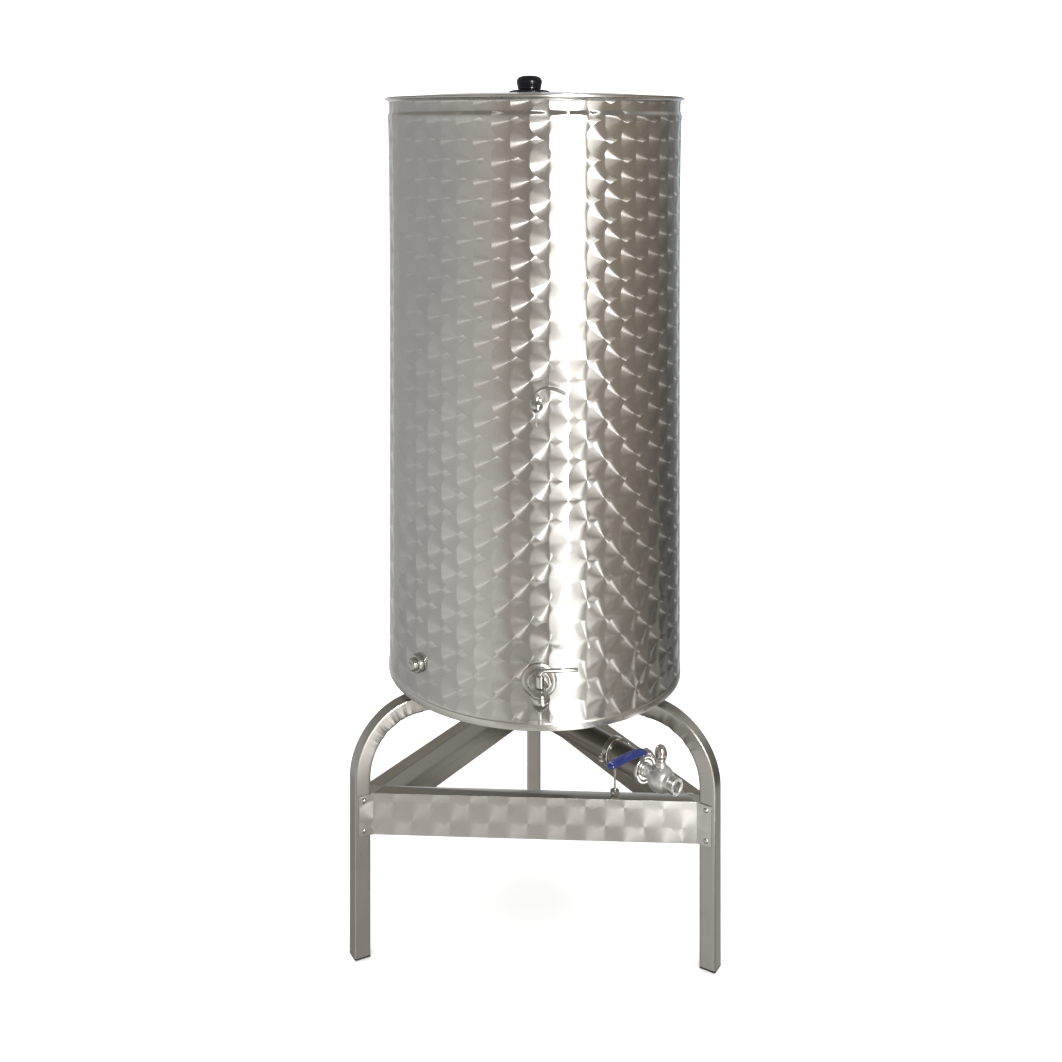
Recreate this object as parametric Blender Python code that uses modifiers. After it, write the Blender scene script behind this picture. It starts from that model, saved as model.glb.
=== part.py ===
# A 300 litre stainless steel storage tank for wine or oil on a three-legged stand.
# The tank is a turned shell with a flat floor and a loose lid. Its fittings are a main tap, a small
# sample tap, a plugged side outlet and a drain pipe with a ball valve that runs out under the tank.
# Metres, +Z up, the origin on the tank's axis at floor level, and the front rail parallel to X.

import math

import bmesh
import bpy
from mathutils import Matrix, Vector

# Gap between pieces that touch
GAP = 0.0003

# Tank
TANK_RADIUS = 0.290
TANK_BOTTOM = 0.476
TANK_TOP = 1.6095
WALL = 0.0025
LIP_REACH = 0.0087
RIDGE_TOP = 1.5835
RIDGE_HEIGHT = 1.5735
RIDGE_FOOT = 1.5605
RIDGE_REACH = 0.0044
NECK_REACH = 0.0016
FLARE_REACH = 0.0034
FLARE_FOOT = 1.12
SEAM_HEIGHT = 0.012
SEAM_REACH = 0.0012

# Lid and knob
LID_RADIUS = 0.2971
LID_SHEET = 0.0020
LID_SKIRT_RADIUS = 0.2825
LID_SKIRT_DEPTH = 0.014
LID_CROWN = 0.010
KNOB_SHIFT = -0.0090
KNOB_BASE_RADIUS = 0.041
KNOB_BASE_HEIGHT = 0.0065
KNOB_RADIUS = 0.026
KNOB_HEIGHT = 0.028
STUD_RADIUS = 0.004

# Stand: square tubes bent over at the top, with a bearer at the end of each that carries the tank, and
# pressed rails with riveted end tabs
LEG_ACROSS = 0.031
LEG_DEEP = 0.032
LEG_TOP = 0.466
LEG_BEND = 0.133
LEG_REACH = {"left": 0.376, "right": 0.376, "rear": 0.338}
LEG_ANGLE = {"left": -150.0, "right": -30.0, "rear": 90.0}
LEG_RUN_IN = 0.0065
BEARER_LENGTH = 0.045
LEG_EDGE = 0.003
FOOT_HEIGHT = 0.003
RAIL_TOP = 0.307
RAIL_HEIGHT = 0.078
RAIL_SHEET = 0.002
RAIL_FLANGE = 0.028
TAB_INWARD = 0.0195
TAB_OUTWARD = 0.009

# Main tap, low at the front
TAP_ANGLE = -88.1
TAP_HEIGHT = 0.5665
TAP_FLANGE_RADIUS = 0.0315
TAP_BULB_RADIUS = 0.0175
TAP_BULB_TOP = 0.574
TAP_BULB_BOTTOM = 0.535
TAP_SPOUT_END = 0.5107
TAP_SPOUT_RADIUS = 0.0043
TAP_LEVER_HEIGHT = 0.6035
TAP_LEVER_LENGTH = 0.066
TAP_LEVER_RADIUS = 0.0038
TAP_LEVER_TURN = 8.0

# Sample tap, half way up the front
SAMPLE_ANGLE = -89.1
SAMPLE_HEIGHT = 1.062
SAMPLE_REACH = 0.030
SAMPLE_BALL_RADIUS = 0.0115
SAMPLE_SPOUT_END = 1.0252
SAMPLE_SPOUT_RADIUS = 0.0023
SAMPLE_LEVER_HEIGHT = 1.0868
SAMPLE_LEVER_LENGTH = 0.051
SAMPLE_LEVER_RADIUS = 0.0031
SAMPLE_LEVER_ARCH = 0.0085
SAMPLE_LEVER_DROP = 0.003

# Plugged side outlet
PLUG_ANGLE = -137.7
PLUG_HEIGHT = 0.5532
PLUG_BOSS_RADIUS = 0.0175

# Stems of the fittings through the shell, and the room round them in its holes
TAP_STEM = 0.0120
SAMPLE_STEM = 0.0060
PLUG_STEM = 0.0115
HOLE_ROOM = 0.0004

# Drain: pipe, clamp on a rod, end cap and ball valve, all on one level line out from the tank's axis
DRAIN_ANGLE = -49.5
DRAIN_HEIGHT = 0.3860
DRAIN_PIPE_RADIUS = 0.024
DRAIN_BEND = 0.050
CLAMP_AT = 0.2324
CLAMP_WIDTH = 0.012
CLAMP_RADIUS = 0.0285
COLLAR_AT = 0.3075
VALVE_AT = 0.350
VALVE_RADIUS = 0.025
VALVE_NECK_RISE = 0.0055
OUTLET_END = 0.390
OUTLET_RADIUS = 0.0155
OUTLET_BORE = 0.0092
OUTLET_BORE_DEPTH = 0.025
LEVER_CLOSED_ANGLE = -146.5
LEVER_LOW = 0.4262
LEVER_HIGH = 0.443
LEVER_PITCH = 5.0
LEVER_THICKNESS = 0.003
LEVER_WIDTH = 0.014
SLEEVE_START = 0.038
SLEEVE_LENGTH = 0.080
SLEEVE_WIDTH = 0.018
SLEEVE_THICKNESS = 0.008
SLEEVE_OVERLAP = 0.014

# Sides of the turned pieces, by their size
STEPS_TANK = 64
STEPS_LARGE = 32
STEPS_MEDIUM = 24
STEPS_SMALL = 16


def clear_scene():
    for obj in list(bpy.data.objects):
        bpy.data.objects.remove(obj, do_unlink=True)


def make_collection(name):
    collection = bpy.data.collections.new(name)
    bpy.context.scene.collection.children.link(collection)
    return collection


def make_material(name, colour, roughness, metallic):
    material = bpy.data.materials.new(name)
    material.use_nodes = True
    shader = material.node_tree.nodes["Principled BSDF"]
    shader.inputs["Base Color"].default_value = (*colour, 1.0)
    shader.inputs["Roughness"].default_value = roughness
    shader.inputs["Metallic"].default_value = metallic
    return material


def link_mesh(name, mesh, material, collection):
    obj = bpy.data.objects.new(name, mesh)
    collection.objects.link(obj)
    if material:
        mesh.materials.append(material)
    return obj


def smooth(mesh, degrees=35):
    mesh.shade_smooth()
    mesh.set_sharp_from_angle(angle=math.radians(degrees))


def arc(centre, radius, start, end, count):
    """Points on an arc in the profile plane, from the start angle to the end angle in degrees."""
    points = []
    for step in range(count + 1):
        angle = math.radians(start + (end - start) * step / count)
        points.append((centre[0] + radius * math.cos(angle), centre[1] + radius * math.sin(angle)))
    return points


def turned(name, profile, steps, material, collection, ring=False):
    """A solid of revolution about local Z. The profile runs down the outer side, from top to bottom.
    A ring's profile is a closed loop that stays clear of the axis."""
    mesh = bpy.data.meshes.new(name)
    bm = bmesh.new()
    verts = [bm.verts.new((radius, 0.0, height)) for radius, height in profile]
    for first, second in zip(verts, verts[1:]):
        bm.edges.new((first, second))
    if ring:
        bm.edges.new((verts[-1], verts[0]))
    bm.to_mesh(mesh)
    bm.free()
    obj = link_mesh(name, mesh, material, collection)
    screw = obj.modifiers.new("Turn", "SCREW")
    screw.steps = steps
    screw.render_steps = steps
    screw.use_merge_vertices = True
    screw.merge_threshold = 0.0001
    screw.use_smooth_shade = True
    return obj


def box(name, size, material, collection):
    """A box centred on its own origin."""
    mesh = bpy.data.meshes.new(name)
    bm = bmesh.new()
    bmesh.ops.create_cube(bm, size=1.0, matrix=Matrix.Diagonal((*size, 1.0)))
    bm.to_mesh(mesh)
    bm.free()
    return link_mesh(name, mesh, material, collection)


def cylinder(name, radius, length, sides, material, collection):
    """A cylinder along local Z, centred on its own origin."""
    mesh = bpy.data.meshes.new(name)
    bm = bmesh.new()
    bmesh.ops.create_cone(bm, cap_ends=True, segments=sides, radius1=radius, radius2=radius, depth=length)
    bm.to_mesh(mesh)
    bm.free()
    return link_mesh(name, mesh, material, collection)


def curve_to_mesh(obj, material, collection):
    """Replaces a curve object by a mesh object of the same name and place, with its caps welded on."""
    evaluated = obj.evaluated_get(bpy.context.evaluated_depsgraph_get())
    mesh = bpy.data.meshes.new_from_object(evaluated)
    bm = bmesh.new()
    bm.from_mesh(mesh)
    bmesh.ops.remove_doubles(bm, verts=bm.verts, dist=0.00001)
    bm.to_mesh(mesh)
    bm.free()
    mesh.materials.clear()
    name = obj.name
    position = obj.matrix_world.copy()
    bpy.data.objects.remove(obj, do_unlink=True)
    solid = link_mesh(name, mesh, material, collection)
    solid.matrix_world = position
    return solid


def rod(name, points, radius, sides_quarter, material, collection):
    """A round bar along the points, with closed ends."""
    curve = bpy.data.curves.new(name, "CURVE")
    curve.dimensions = "3D"
    curve.bevel_depth = radius
    curve.bevel_resolution = sides_quarter
    curve.use_fill_caps = True
    spline = curve.splines.new("POLY")
    spline.points.add(len(points) - 1)
    for point, position in zip(spline.points, points):
        point.co = (*position, 1.0)
    obj = bpy.data.objects.new(name, curve)
    collection.objects.link(obj)
    bpy.context.view_layer.update()
    solid = curve_to_mesh(obj, material, collection)
    smooth(solid.data)
    return solid


def plate(name, outline, thickness, material, collection):
    """A flat plate in the local XY plane, half its thickness to each side."""
    curve = bpy.data.curves.new(name, "CURVE")
    curve.dimensions = "2D"
    curve.fill_mode = "BOTH"
    curve.extrude = thickness / 2
    spline = curve.splines.new("POLY")
    spline.points.add(len(outline) - 1)
    for point, (x, y) in zip(spline.points, outline):
        point.co = (x, y, 0.0, 1.0)
    spline.use_cyclic_u = True
    obj = bpy.data.objects.new(name, curve)
    collection.objects.link(obj)
    bpy.context.view_layer.update()
    return curve_to_mesh(obj, material, collection)


def bevel(obj, width, segments, degrees=50):
    modifier = obj.modifiers.new("Edges", "BEVEL")
    modifier.width = width
    modifier.segments = segments
    modifier.limit_method = "ANGLE"
    modifier.angle_limit = math.radians(degrees)


def boolean(obj, other, operation, cutters):
    """Cuts or joins with the EXACT solver. The other object becomes a hidden cutter."""
    modifier = obj.modifiers.new(operation.title(), "BOOLEAN")
    modifier.operation = operation
    modifier.solver = "EXACT"
    modifier.object = other
    for collection in list(other.users_collection):
        collection.objects.unlink(other)
    cutters.objects.link(other)
    other.hide_render = True
    other.display_type = "WIRE"


def direction(degrees):
    angle = math.radians(degrees)
    return Vector((math.cos(angle), math.sin(angle), 0.0))


def lay_outward(obj, degrees, height, start=0.0):
    """Turns local Z to point outward at this angle round the tank."""
    obj.rotation_euler = (0.0, math.pi / 2, math.radians(degrees))
    obj.location = direction(degrees) * start + Vector((0.0, 0.0, height))


def place(obj, degrees, distance, height, turn=0.0):
    obj.rotation_euler = (0.0, 0.0, math.radians(degrees + turn))
    obj.location = direction(degrees) * distance + Vector((0.0, 0.0, height))


def shell_radius(height):
    """The shell widens a little towards a rolled ridge under the lip and is drawn in above it."""
    if height > RIDGE_HEIGHT:
        share = (height - RIDGE_HEIGHT) / (RIDGE_TOP - RIDGE_HEIGHT)
        return TANK_RADIUS + RIDGE_REACH + (NECK_REACH - RIDGE_REACH) * math.sin(math.pi / 2 * share) ** 2
    flare = FLARE_REACH * max((height - FLARE_FOOT) / (RIDGE_HEIGHT - FLARE_FOOT), 0) ** 3
    share = max((height - RIDGE_FOOT) / (RIDGE_HEIGHT - RIDGE_FOOT), 0)
    return TANK_RADIUS + flare + (RIDGE_REACH - FLARE_REACH) * math.sin(math.pi / 2 * share) ** 2


def spread(first, last, count):
    """Evenly spaced values from the first up to, and without, the last."""
    return [first + (last - first) * step / count for step in range(count)]


def wall_profile():
    """The shell's section as a closed loop: down its outer side, then up its inner side."""
    lip_centre = (TANK_RADIUS + NECK_REACH + LIP_REACH, TANK_TOP - WALL - LIP_REACH)
    outer = arc(lip_centre, LIP_REACH, 90, 180, 4)
    inner = arc(lip_centre, LIP_REACH + WALL, 90, 180, 4)
    heights = spread(RIDGE_TOP, RIDGE_HEIGHT, 4) + spread(RIDGE_HEIGHT, RIDGE_FOOT, 3)
    heights += [*spread(RIDGE_FOOT, FLARE_FOOT, 6), FLARE_FOOT]
    ridge = [(shell_radius(height), height) for height in heights]
    seam_top = TANK_BOTTOM + SEAM_HEIGHT
    seam = [
        (TANK_RADIUS, seam_top + SEAM_REACH),
        (TANK_RADIUS + SEAM_REACH, seam_top),
        (TANK_RADIUS + SEAM_REACH, TANK_BOTTOM),
    ]
    inner_ridge = [(radius - WALL, height) for radius, height in reversed(ridge)]
    return outer + ridge + seam + [(TANK_RADIUS - WALL, TANK_BOTTOM)] + inner_ridge + list(reversed(inner))


def build_tank(steel, parts, cutters):
    shell = turned("tank_shell", wall_profile(), STEPS_TANK, steel, parts, ring=True)
    for name, angle, height, radius in (
        ("main_tap_hole", TAP_ANGLE, TAP_HEIGHT, TAP_STEM),
        ("sample_tap_hole", SAMPLE_ANGLE, SAMPLE_HEIGHT, SAMPLE_STEM),
        ("side_plug_hole", PLUG_ANGLE, PLUG_HEIGHT, PLUG_STEM),
    ):
        cutter = cylinder(name, radius + HOLE_ROOM, 0.030, STEPS_MEDIUM, None, parts)
        lay_outward(cutter, angle, height, TANK_RADIUS)
        boolean(shell, cutter, "DIFFERENCE", cutters)
    edge = TANK_RADIUS - WALL - GAP
    floor_top = TANK_BOTTOM + WALL
    floor_profile = [(0.0, floor_top), (edge, floor_top), (edge, TANK_BOTTOM), (0.0, TANK_BOTTOM)]
    turned("tank_floor", floor_profile, STEPS_TANK, steel, parts)


def build_lid(steel, black, bright, parts, cutters):
    """The lid rests on the tank's lip, and a skirt inside the tank keeps it in the middle."""
    seat = TANK_TOP + GAP
    top = seat + LID_SHEET
    skirt_in = LID_SKIRT_RADIUS - LID_SHEET
    crown = top + LID_CROWN
    profile = [
        (0.0, crown),
        (skirt_in * 0.5, crown - LID_CROWN * 0.2),
        (LID_SKIRT_RADIUS, top),
        (LID_RADIUS, top),
        (LID_RADIUS, seat),
        (LID_SKIRT_RADIUS, seat),
        (LID_SKIRT_RADIUS, seat - LID_SKIRT_DEPTH),
        (skirt_in, seat - LID_SKIRT_DEPTH),
        (skirt_in, seat),
        (skirt_in * 0.5, crown - LID_CROWN * 0.2 - LID_SHEET),
        (0.0, crown - LID_SHEET),
    ]
    lid = turned("lid", profile, STEPS_TANK, steel, parts)
    hole = cylinder("knob_hole", STUD_RADIUS + GAP, 0.03, STEPS_SMALL, None, parts)
    hole.location = (KNOB_SHIFT, 0.0, crown)
    boolean(lid, hole, "DIFFERENCE", cutters)

    base_bottom = crown + GAP
    base_top = base_bottom + KNOB_BASE_HEIGHT
    bore = STUD_RADIUS + GAP
    base_profile = [
        (bore, base_top),
        (KNOB_RADIUS * 0.8, base_top),
        (KNOB_BASE_RADIUS * 0.85, base_top - KNOB_BASE_HEIGHT * 0.25),
        (KNOB_BASE_RADIUS, base_top - KNOB_BASE_HEIGHT * 0.45),
        (KNOB_BASE_RADIUS, base_bottom),
        (bore, base_bottom),
    ]
    base = turned("lid_knob_base", base_profile, STEPS_LARGE, black, parts, ring=True)
    base.location.x = KNOB_SHIFT

    knob_bottom = base_top + GAP
    knob_top = base_top + KNOB_HEIGHT
    waist = KNOB_RADIUS * 0.92
    shoulder = knob_top - KNOB_HEIGHT * 0.42
    dome = []
    for step in range(1, 6):
        angle = math.radians(90 - 15 * step)
        height = shoulder + (knob_top - shoulder) * math.sin(angle)
        dome.append((KNOB_RADIUS * math.cos(angle) ** 0.8, height))
    knob_profile = [(0.0, knob_top)] + dome + [
        (KNOB_RADIUS, shoulder - KNOB_HEIGHT * 0.05),
        (waist, knob_bottom + KNOB_HEIGHT * 0.22),
        (waist, knob_bottom),
        (bore, knob_bottom),
        (bore, knob_bottom + 0.012),
        (0.0, knob_bottom + 0.012),
    ]
    knob = turned("lid_knob", knob_profile, STEPS_MEDIUM, black, parts)
    knob.location.x = KNOB_SHIFT

    nut_top = crown - LID_SHEET - GAP
    stud_profile = [
        (0.0, knob_bottom + 0.0115),
        (STUD_RADIUS, knob_bottom + 0.0115),
        (STUD_RADIUS, nut_top),
        (0.008, nut_top),
        (0.008, nut_top - 0.006),
        (0.0, nut_top - 0.006),
    ]
    stud = turned("lid_knob_screw", stud_profile, STEPS_SMALL, bright, parts)
    stud.location.x = KNOB_SHIFT


def leg_outline(reach):
    """The leg's side view: X is the distance from the tank's axis, Y is height."""
    outer = reach + LEG_DEEP / 2
    bend_centre = (outer - LEG_BEND, LEG_TOP - LEG_BEND)
    end = bend_centre[0] - LEG_RUN_IN
    bottom = FOOT_HEIGHT + GAP
    outline = [(outer, bottom)]
    outline += arc(bend_centre, LEG_BEND, 0, 90, 12)
    outline += [(end, LEG_TOP), (end, LEG_TOP - LEG_DEEP)]
    outline += arc(bend_centre, LEG_BEND - LEG_DEEP, 90, 0, 12)
    outline += [(outer - LEG_DEEP, bottom)]
    return outline


def build_leg(side, steel, plastic, parts):
    reach = LEG_REACH[side]
    angle = LEG_ANGLE[side]
    upright = (math.pi / 2, 0.0, math.radians(angle))
    leg = plate(f"leg_{side}", leg_outline(reach), LEG_ACROSS, steel, parts)
    leg.rotation_euler = upright
    bevel(leg, LEG_EDGE, 2)

    end_face = reach + LEG_DEEP / 2 - LEG_BEND - LEG_RUN_IN
    top = TANK_BOTTOM - GAP
    low = LEG_TOP - LEG_DEEP + 0.001
    bearer = box(f"leg_{side}_end", (BEARER_LENGTH, LEG_ACROSS - 0.003, top - low), steel, parts)
    place(bearer, angle, end_face - GAP - BEARER_LENGTH / 2, (top + low) / 2)
    bevel(bearer, 0.0015, 2)

    foot = box(f"foot_{side}", (LEG_DEEP - 0.001, LEG_ACROSS - 0.001, FOOT_HEIGHT), plastic, parts)
    place(foot, angle, reach, FOOT_HEIGHT / 2)
    bevel(foot, 0.0012, 2)


def leg_centre(side):
    return direction(LEG_ANGLE[side]) * LEG_REACH[side]


def meet(point, along, other_point, other_along):
    """Where two lines in plan cross."""
    cross = along.x * other_along.y - along.y * other_along.x
    offset = other_point - point
    share = (offset.x * other_along.y - offset.y * other_along.x) / cross
    return point + along * share


def build_rail(name, first, second, steel, parts):
    """A sheet rail folded to a channel, open to the middle, with a tab on the side of each leg."""
    centres = [leg_centre(first), leg_centre(second)]
    inward = [-direction(LEG_ANGLE[first]), -direction(LEG_ANGLE[second])]
    along = (centres[1] - centres[0]).normalized()
    outside = Vector((along.y, -along.x, 0.0))
    side_offset = LEG_ACROSS / 2 + GAP
    folds = []
    tabs = []
    for centre, inner in zip(centres, inward):
        side = Vector((inner.y, -inner.x, 0.0))
        if side.dot(outside) < 0:
            side = -side
        folds.append(centre + side * side_offset + inner * TAB_INWARD)
        tabs.append(centre + side * side_offset - inner * TAB_OUTWARD)
    along = (folds[1] - folds[0]).normalized()
    into = Vector((-along.y, along.x, 0.0))
    depth = RAIL_FLANGE - RAIL_SHEET
    mitre = 0.0012
    corners = []
    for centre, inner, sign in zip(centres, inward, (1.0, -1.0)):
        corner = meet(folds[0] + into * depth, along, centre, inner)
        corners.append(corner + along * mitre * 2 * sign)

    low = RAIL_TOP - RAIL_HEIGHT + RAIL_SHEET
    high = RAIL_TOP - RAIL_SHEET
    mesh = bpy.data.meshes.new(name)
    bm = bmesh.new()
    row = [bm.verts.new((*corner.xy, low)) for corner in (tabs[0], folds[0], folds[1], tabs[1])]
    edges = [bm.edges.new(pair) for pair in zip(row, row[1:])]
    lower_web = edges[1]
    raised = bmesh.ops.extrude_edge_only(bm, edges=edges)
    upper = [item for item in raised["geom"] if isinstance(item, bmesh.types.BMVert)]
    bmesh.ops.translate(bm, verts=upper, vec=(0.0, 0.0, high - low))
    upper_web = max(
        (item for item in raised["geom"] if isinstance(item, bmesh.types.BMEdge)),
        key=lambda edge: edge.calc_length() if abs(edge.verts[0].co.z - high) < 1e-6 else 0.0,
    )
    for edge in (lower_web, upper_web):
        flange = bmesh.ops.extrude_edge_only(bm, edges=[edge])
        for vert in (item for item in flange["geom"] if isinstance(item, bmesh.types.BMVert)):
            near_first = (vert.co.xy - folds[0].xy).length < (vert.co.xy - folds[1].xy).length
            vert.co.xy = corners[0 if near_first else 1].xy
    bmesh.ops.recalc_face_normals(bm, faces=bm.faces)
    web = max(bm.faces, key=lambda face: face.calc_area())
    if web.normal.dot(into) > 0:
        bmesh.ops.reverse_faces(bm, faces=bm.faces)
    bm.to_mesh(mesh)
    bm.free()
    rail = link_mesh(name, mesh, steel, parts)
    sheet = rail.modifiers.new("Sheet", "SOLIDIFY")
    sheet.thickness = RAIL_SHEET
    sheet.offset = 1.0
    sheet.use_even_offset = True
    sheet.use_quality_normals = True


def tap_reach():
    """The bulb stands out so far that the tap's front is as far from the axis as the rear leg's back."""
    rear = LEG_REACH["rear"] + LEG_DEEP / 2
    return (rear - TAP_BULB_RADIUS) / math.sin(math.radians(-TAP_ANGLE))


def build_main_tap(bright, parts, cutters):
    reach = tap_reach()
    wall = TANK_RADIUS + GAP

    socket_profile = [(0.0, 0.0085), (TAP_STEM, 0.0085), (TAP_STEM, -0.012), (0.0, -0.012)]
    socket = turned("main_tap_socket", socket_profile, STEPS_MEDIUM, bright, parts)
    lay_outward(socket, TAP_ANGLE, TAP_HEIGHT, TANK_RADIUS)

    bore = TAP_STEM + HOLE_ROOM
    flange_profile = [
        (bore, 0.0042),
        (TAP_FLANGE_RADIUS - 0.005, 0.0042),
        (TAP_FLANGE_RADIUS, 0.0024),
        (TAP_FLANGE_RADIUS, 0.0),
        (bore, 0.0),
    ]
    flange = turned("main_tap_flange", flange_profile, STEPS_LARGE, bright, parts, ring=True)
    lay_outward(flange, TAP_ANGLE, TAP_HEIGHT, wall)

    backnut_profile = [
        (bore, 0.0085),
        (0.0195, 0.0085),
        (0.0225, 0.0060),
        (0.0225, 0.0045),
        (bore, 0.0045),
    ]
    backnut = turned("main_tap_backnut", backnut_profile, STEPS_LARGE, bright, parts, ring=True)
    lay_outward(backnut, TAP_ANGLE, TAP_HEIGHT, wall)

    barrel_start = 0.0092
    barrel_length = reach - TANK_RADIUS - barrel_start
    barrel_profile = [
        (0.0, barrel_length),
        (0.0105, barrel_length),
        (0.0105, 0.012),
        (0.0150, 0.009),
        (0.0150, 0.0),
        (0.0, 0.0),
    ]
    body = turned("main_tap_body", bulb_profile(), STEPS_MEDIUM, bright, parts)
    place(body, TAP_ANGLE, reach, 0.0)
    barrel = turned("main_tap_barrel", barrel_profile, STEPS_MEDIUM, None, parts)
    lay_outward(barrel, TAP_ANGLE, TAP_HEIGHT - 0.004, TANK_RADIUS + barrel_start)
    boolean(body, barrel, "UNION", cutters)

    bore = TAP_SPOUT_RADIUS - 0.0012
    spout_profile = [
        (bore, TAP_BULB_BOTTOM - GAP),
        (TAP_SPOUT_RADIUS, TAP_BULB_BOTTOM - GAP),
        (TAP_SPOUT_RADIUS, TAP_SPOUT_END),
        (bore, TAP_SPOUT_END),
    ]
    spout = turned("main_tap_spout", spout_profile, STEPS_SMALL, bright, parts, ring=True)
    place(spout, TAP_ANGLE, reach, 0.0)

    stem_bottom = TAP_BULB_TOP + GAP
    bend = 0.006
    corner = TAP_LEVER_HEIGHT - bend
    path = [(0.0, 0.0, 0.0), (0.0, 0.0, corner - stem_bottom)]
    for x, z in arc((bend, corner - stem_bottom), bend, 180, 90, 6)[1:]:
        path.append((x, 0.0, z))
    path.append((TAP_LEVER_LENGTH, 0.0, TAP_LEVER_HEIGHT - stem_bottom))
    lever = rod("main_tap_lever", path, TAP_LEVER_RADIUS, 2, bright, parts)
    axis = direction(TAP_ANGLE) * reach
    lever.location = (axis.x, axis.y, stem_bottom)
    lever.rotation_euler = (0.0, 0.0, math.radians(TAP_LEVER_TURN))


def bulb_profile():
    """The main tap's egg-shaped cock, with a flat neck for the lever and a flat foot for the spout."""
    middle = (TAP_BULB_TOP + TAP_BULB_BOTTOM) / 2
    half = (TAP_BULB_TOP - TAP_BULB_BOTTOM) / 2
    points = [(0.0, TAP_BULB_TOP), (0.0075, TAP_BULB_TOP), (0.0085, TAP_BULB_TOP - 0.003)]
    for step in range(9):
        angle = math.radians(52 - 14.5 * step)
        points.append((TAP_BULB_RADIUS * math.cos(angle) ** 0.9, middle + (half - 0.001) * math.sin(angle)))
    points += [(0.0062, TAP_BULB_BOTTOM), (0.0, TAP_BULB_BOTTOM)]
    return points


def build_sample_tap(bright, parts, cutters):
    reach = TANK_RADIUS + SAMPLE_REACH
    tail_profile = [
        (0.0, 0.0062),
        (0.0105, 0.0052),
        (0.0120, 0.0030),
        (0.0120, GAP),
        (SAMPLE_STEM, GAP),
        (SAMPLE_STEM, -0.010),
        (0.0, -0.010),
    ]
    tail = turned("sample_tap_socket", tail_profile, STEPS_MEDIUM, bright, parts)
    lay_outward(tail, SAMPLE_ANGLE, SAMPLE_HEIGHT, TANK_RADIUS)

    ball_profile = [(0.0, SAMPLE_BALL_RADIUS + 0.004), (0.0045, SAMPLE_BALL_RADIUS + 0.004)]
    ball_profile += arc((0.0, 0.0), SAMPLE_BALL_RADIUS, 58, -68, 9)
    ball_profile += [(0.0036, -SAMPLE_BALL_RADIUS - 0.0015), (0.0, -SAMPLE_BALL_RADIUS - 0.0015)]
    body = turned("sample_tap_body", ball_profile, STEPS_MEDIUM, bright, parts)
    place(body, SAMPLE_ANGLE, reach, SAMPLE_HEIGHT)
    barrel_start = 0.0065
    barrel = cylinder("sample_tap_barrel", 0.0068, SAMPLE_REACH - barrel_start, STEPS_SMALL, None, parts)
    lay_outward(barrel, SAMPLE_ANGLE, SAMPLE_HEIGHT, TANK_RADIUS + (SAMPLE_REACH + barrel_start) / 2)
    boolean(body, barrel, "UNION", cutters)

    top = SAMPLE_HEIGHT - SAMPLE_BALL_RADIUS - 0.0015 - GAP
    bore = SAMPLE_SPOUT_RADIUS - 0.0008
    spout_profile = [
        (bore, top),
        (SAMPLE_SPOUT_RADIUS, top),
        (SAMPLE_SPOUT_RADIUS, SAMPLE_SPOUT_END),
        (bore, SAMPLE_SPOUT_END),
    ]
    spout = turned("sample_tap_spout", spout_profile, STEPS_SMALL, bright, parts, ring=True)
    place(spout, SAMPLE_ANGLE, reach, 0.0)

    stem_bottom = SAMPLE_HEIGHT + SAMPLE_BALL_RADIUS + 0.004 + GAP
    rise = SAMPLE_LEVER_HEIGHT - stem_bottom
    path = [(0.0, 0.0, 0.0), (0.0, 0.0, rise * 0.55)]
    for step in range(9):
        share = step / 8
        arch = SAMPLE_LEVER_ARCH * math.sin(math.pi * share ** 0.8) - SAMPLE_LEVER_DROP * share
        path.append((SAMPLE_LEVER_LENGTH * (0.04 + 0.96 * share), 0.0, rise + arch))
    lever = rod("sample_tap_lever", path, SAMPLE_LEVER_RADIUS, 2, bright, parts)
    axis = direction(SAMPLE_ANGLE) * reach
    lever.location = (axis.x, axis.y, stem_bottom)


def build_side_plug(bright, parts):
    boss_profile = [
        (0.0, 0.0095),
        (PLUG_BOSS_RADIUS - 0.0015, 0.0095),
        (PLUG_BOSS_RADIUS, 0.0080),
        (PLUG_BOSS_RADIUS, GAP),
        (PLUG_STEM, GAP),
        (PLUG_STEM, -0.010),
        (0.0, -0.010),
    ]
    boss = turned("side_outlet_boss", boss_profile, STEPS_MEDIUM, bright, parts)
    lay_outward(boss, PLUG_ANGLE, PLUG_HEIGHT, TANK_RADIUS)
    cap_profile = [
        (0.0, 0.0095),
        (0.0095, 0.0095),
        (0.0120, 0.0075),
        (0.0120, 0.0),
        (0.0, 0.0),
    ]
    cap = turned("side_outlet_plug", cap_profile, STEPS_MEDIUM, bright, parts)
    lay_outward(cap, PLUG_ANGLE, PLUG_HEIGHT, TANK_RADIUS + 0.0095 + GAP)


def build_drain_pipe(steel, parts):
    """Down from the middle of the floor, then level along the drain's line to the clamp."""
    top = TANK_BOTTOM - GAP
    out = direction(DRAIN_ANGLE)
    path = [Vector((0.0, 0.0, top)), Vector((0.0, 0.0, DRAIN_HEIGHT + DRAIN_BEND))]
    for across, height in arc((DRAIN_BEND, DRAIN_HEIGHT + DRAIN_BEND), DRAIN_BEND, 180, 270, 9)[1:]:
        path.append(out * across + Vector((0.0, 0.0, height)))
    path.append(out * (COLLAR_AT - GAP) + Vector((0.0, 0.0, DRAIN_HEIGHT)))
    rod("drain_pipe", path, DRAIN_PIPE_RADIUS, 5, steel, parts)

    flange_profile = [
        (DRAIN_PIPE_RADIUS + GAP, top),
        (0.036, top),
        (0.036, top - 0.003),
        (0.030, top - 0.006),
        (DRAIN_PIPE_RADIUS + GAP, top - 0.006),
    ]
    turned("drain_flange", flange_profile, STEPS_LARGE, steel, parts, ring=True)


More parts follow.
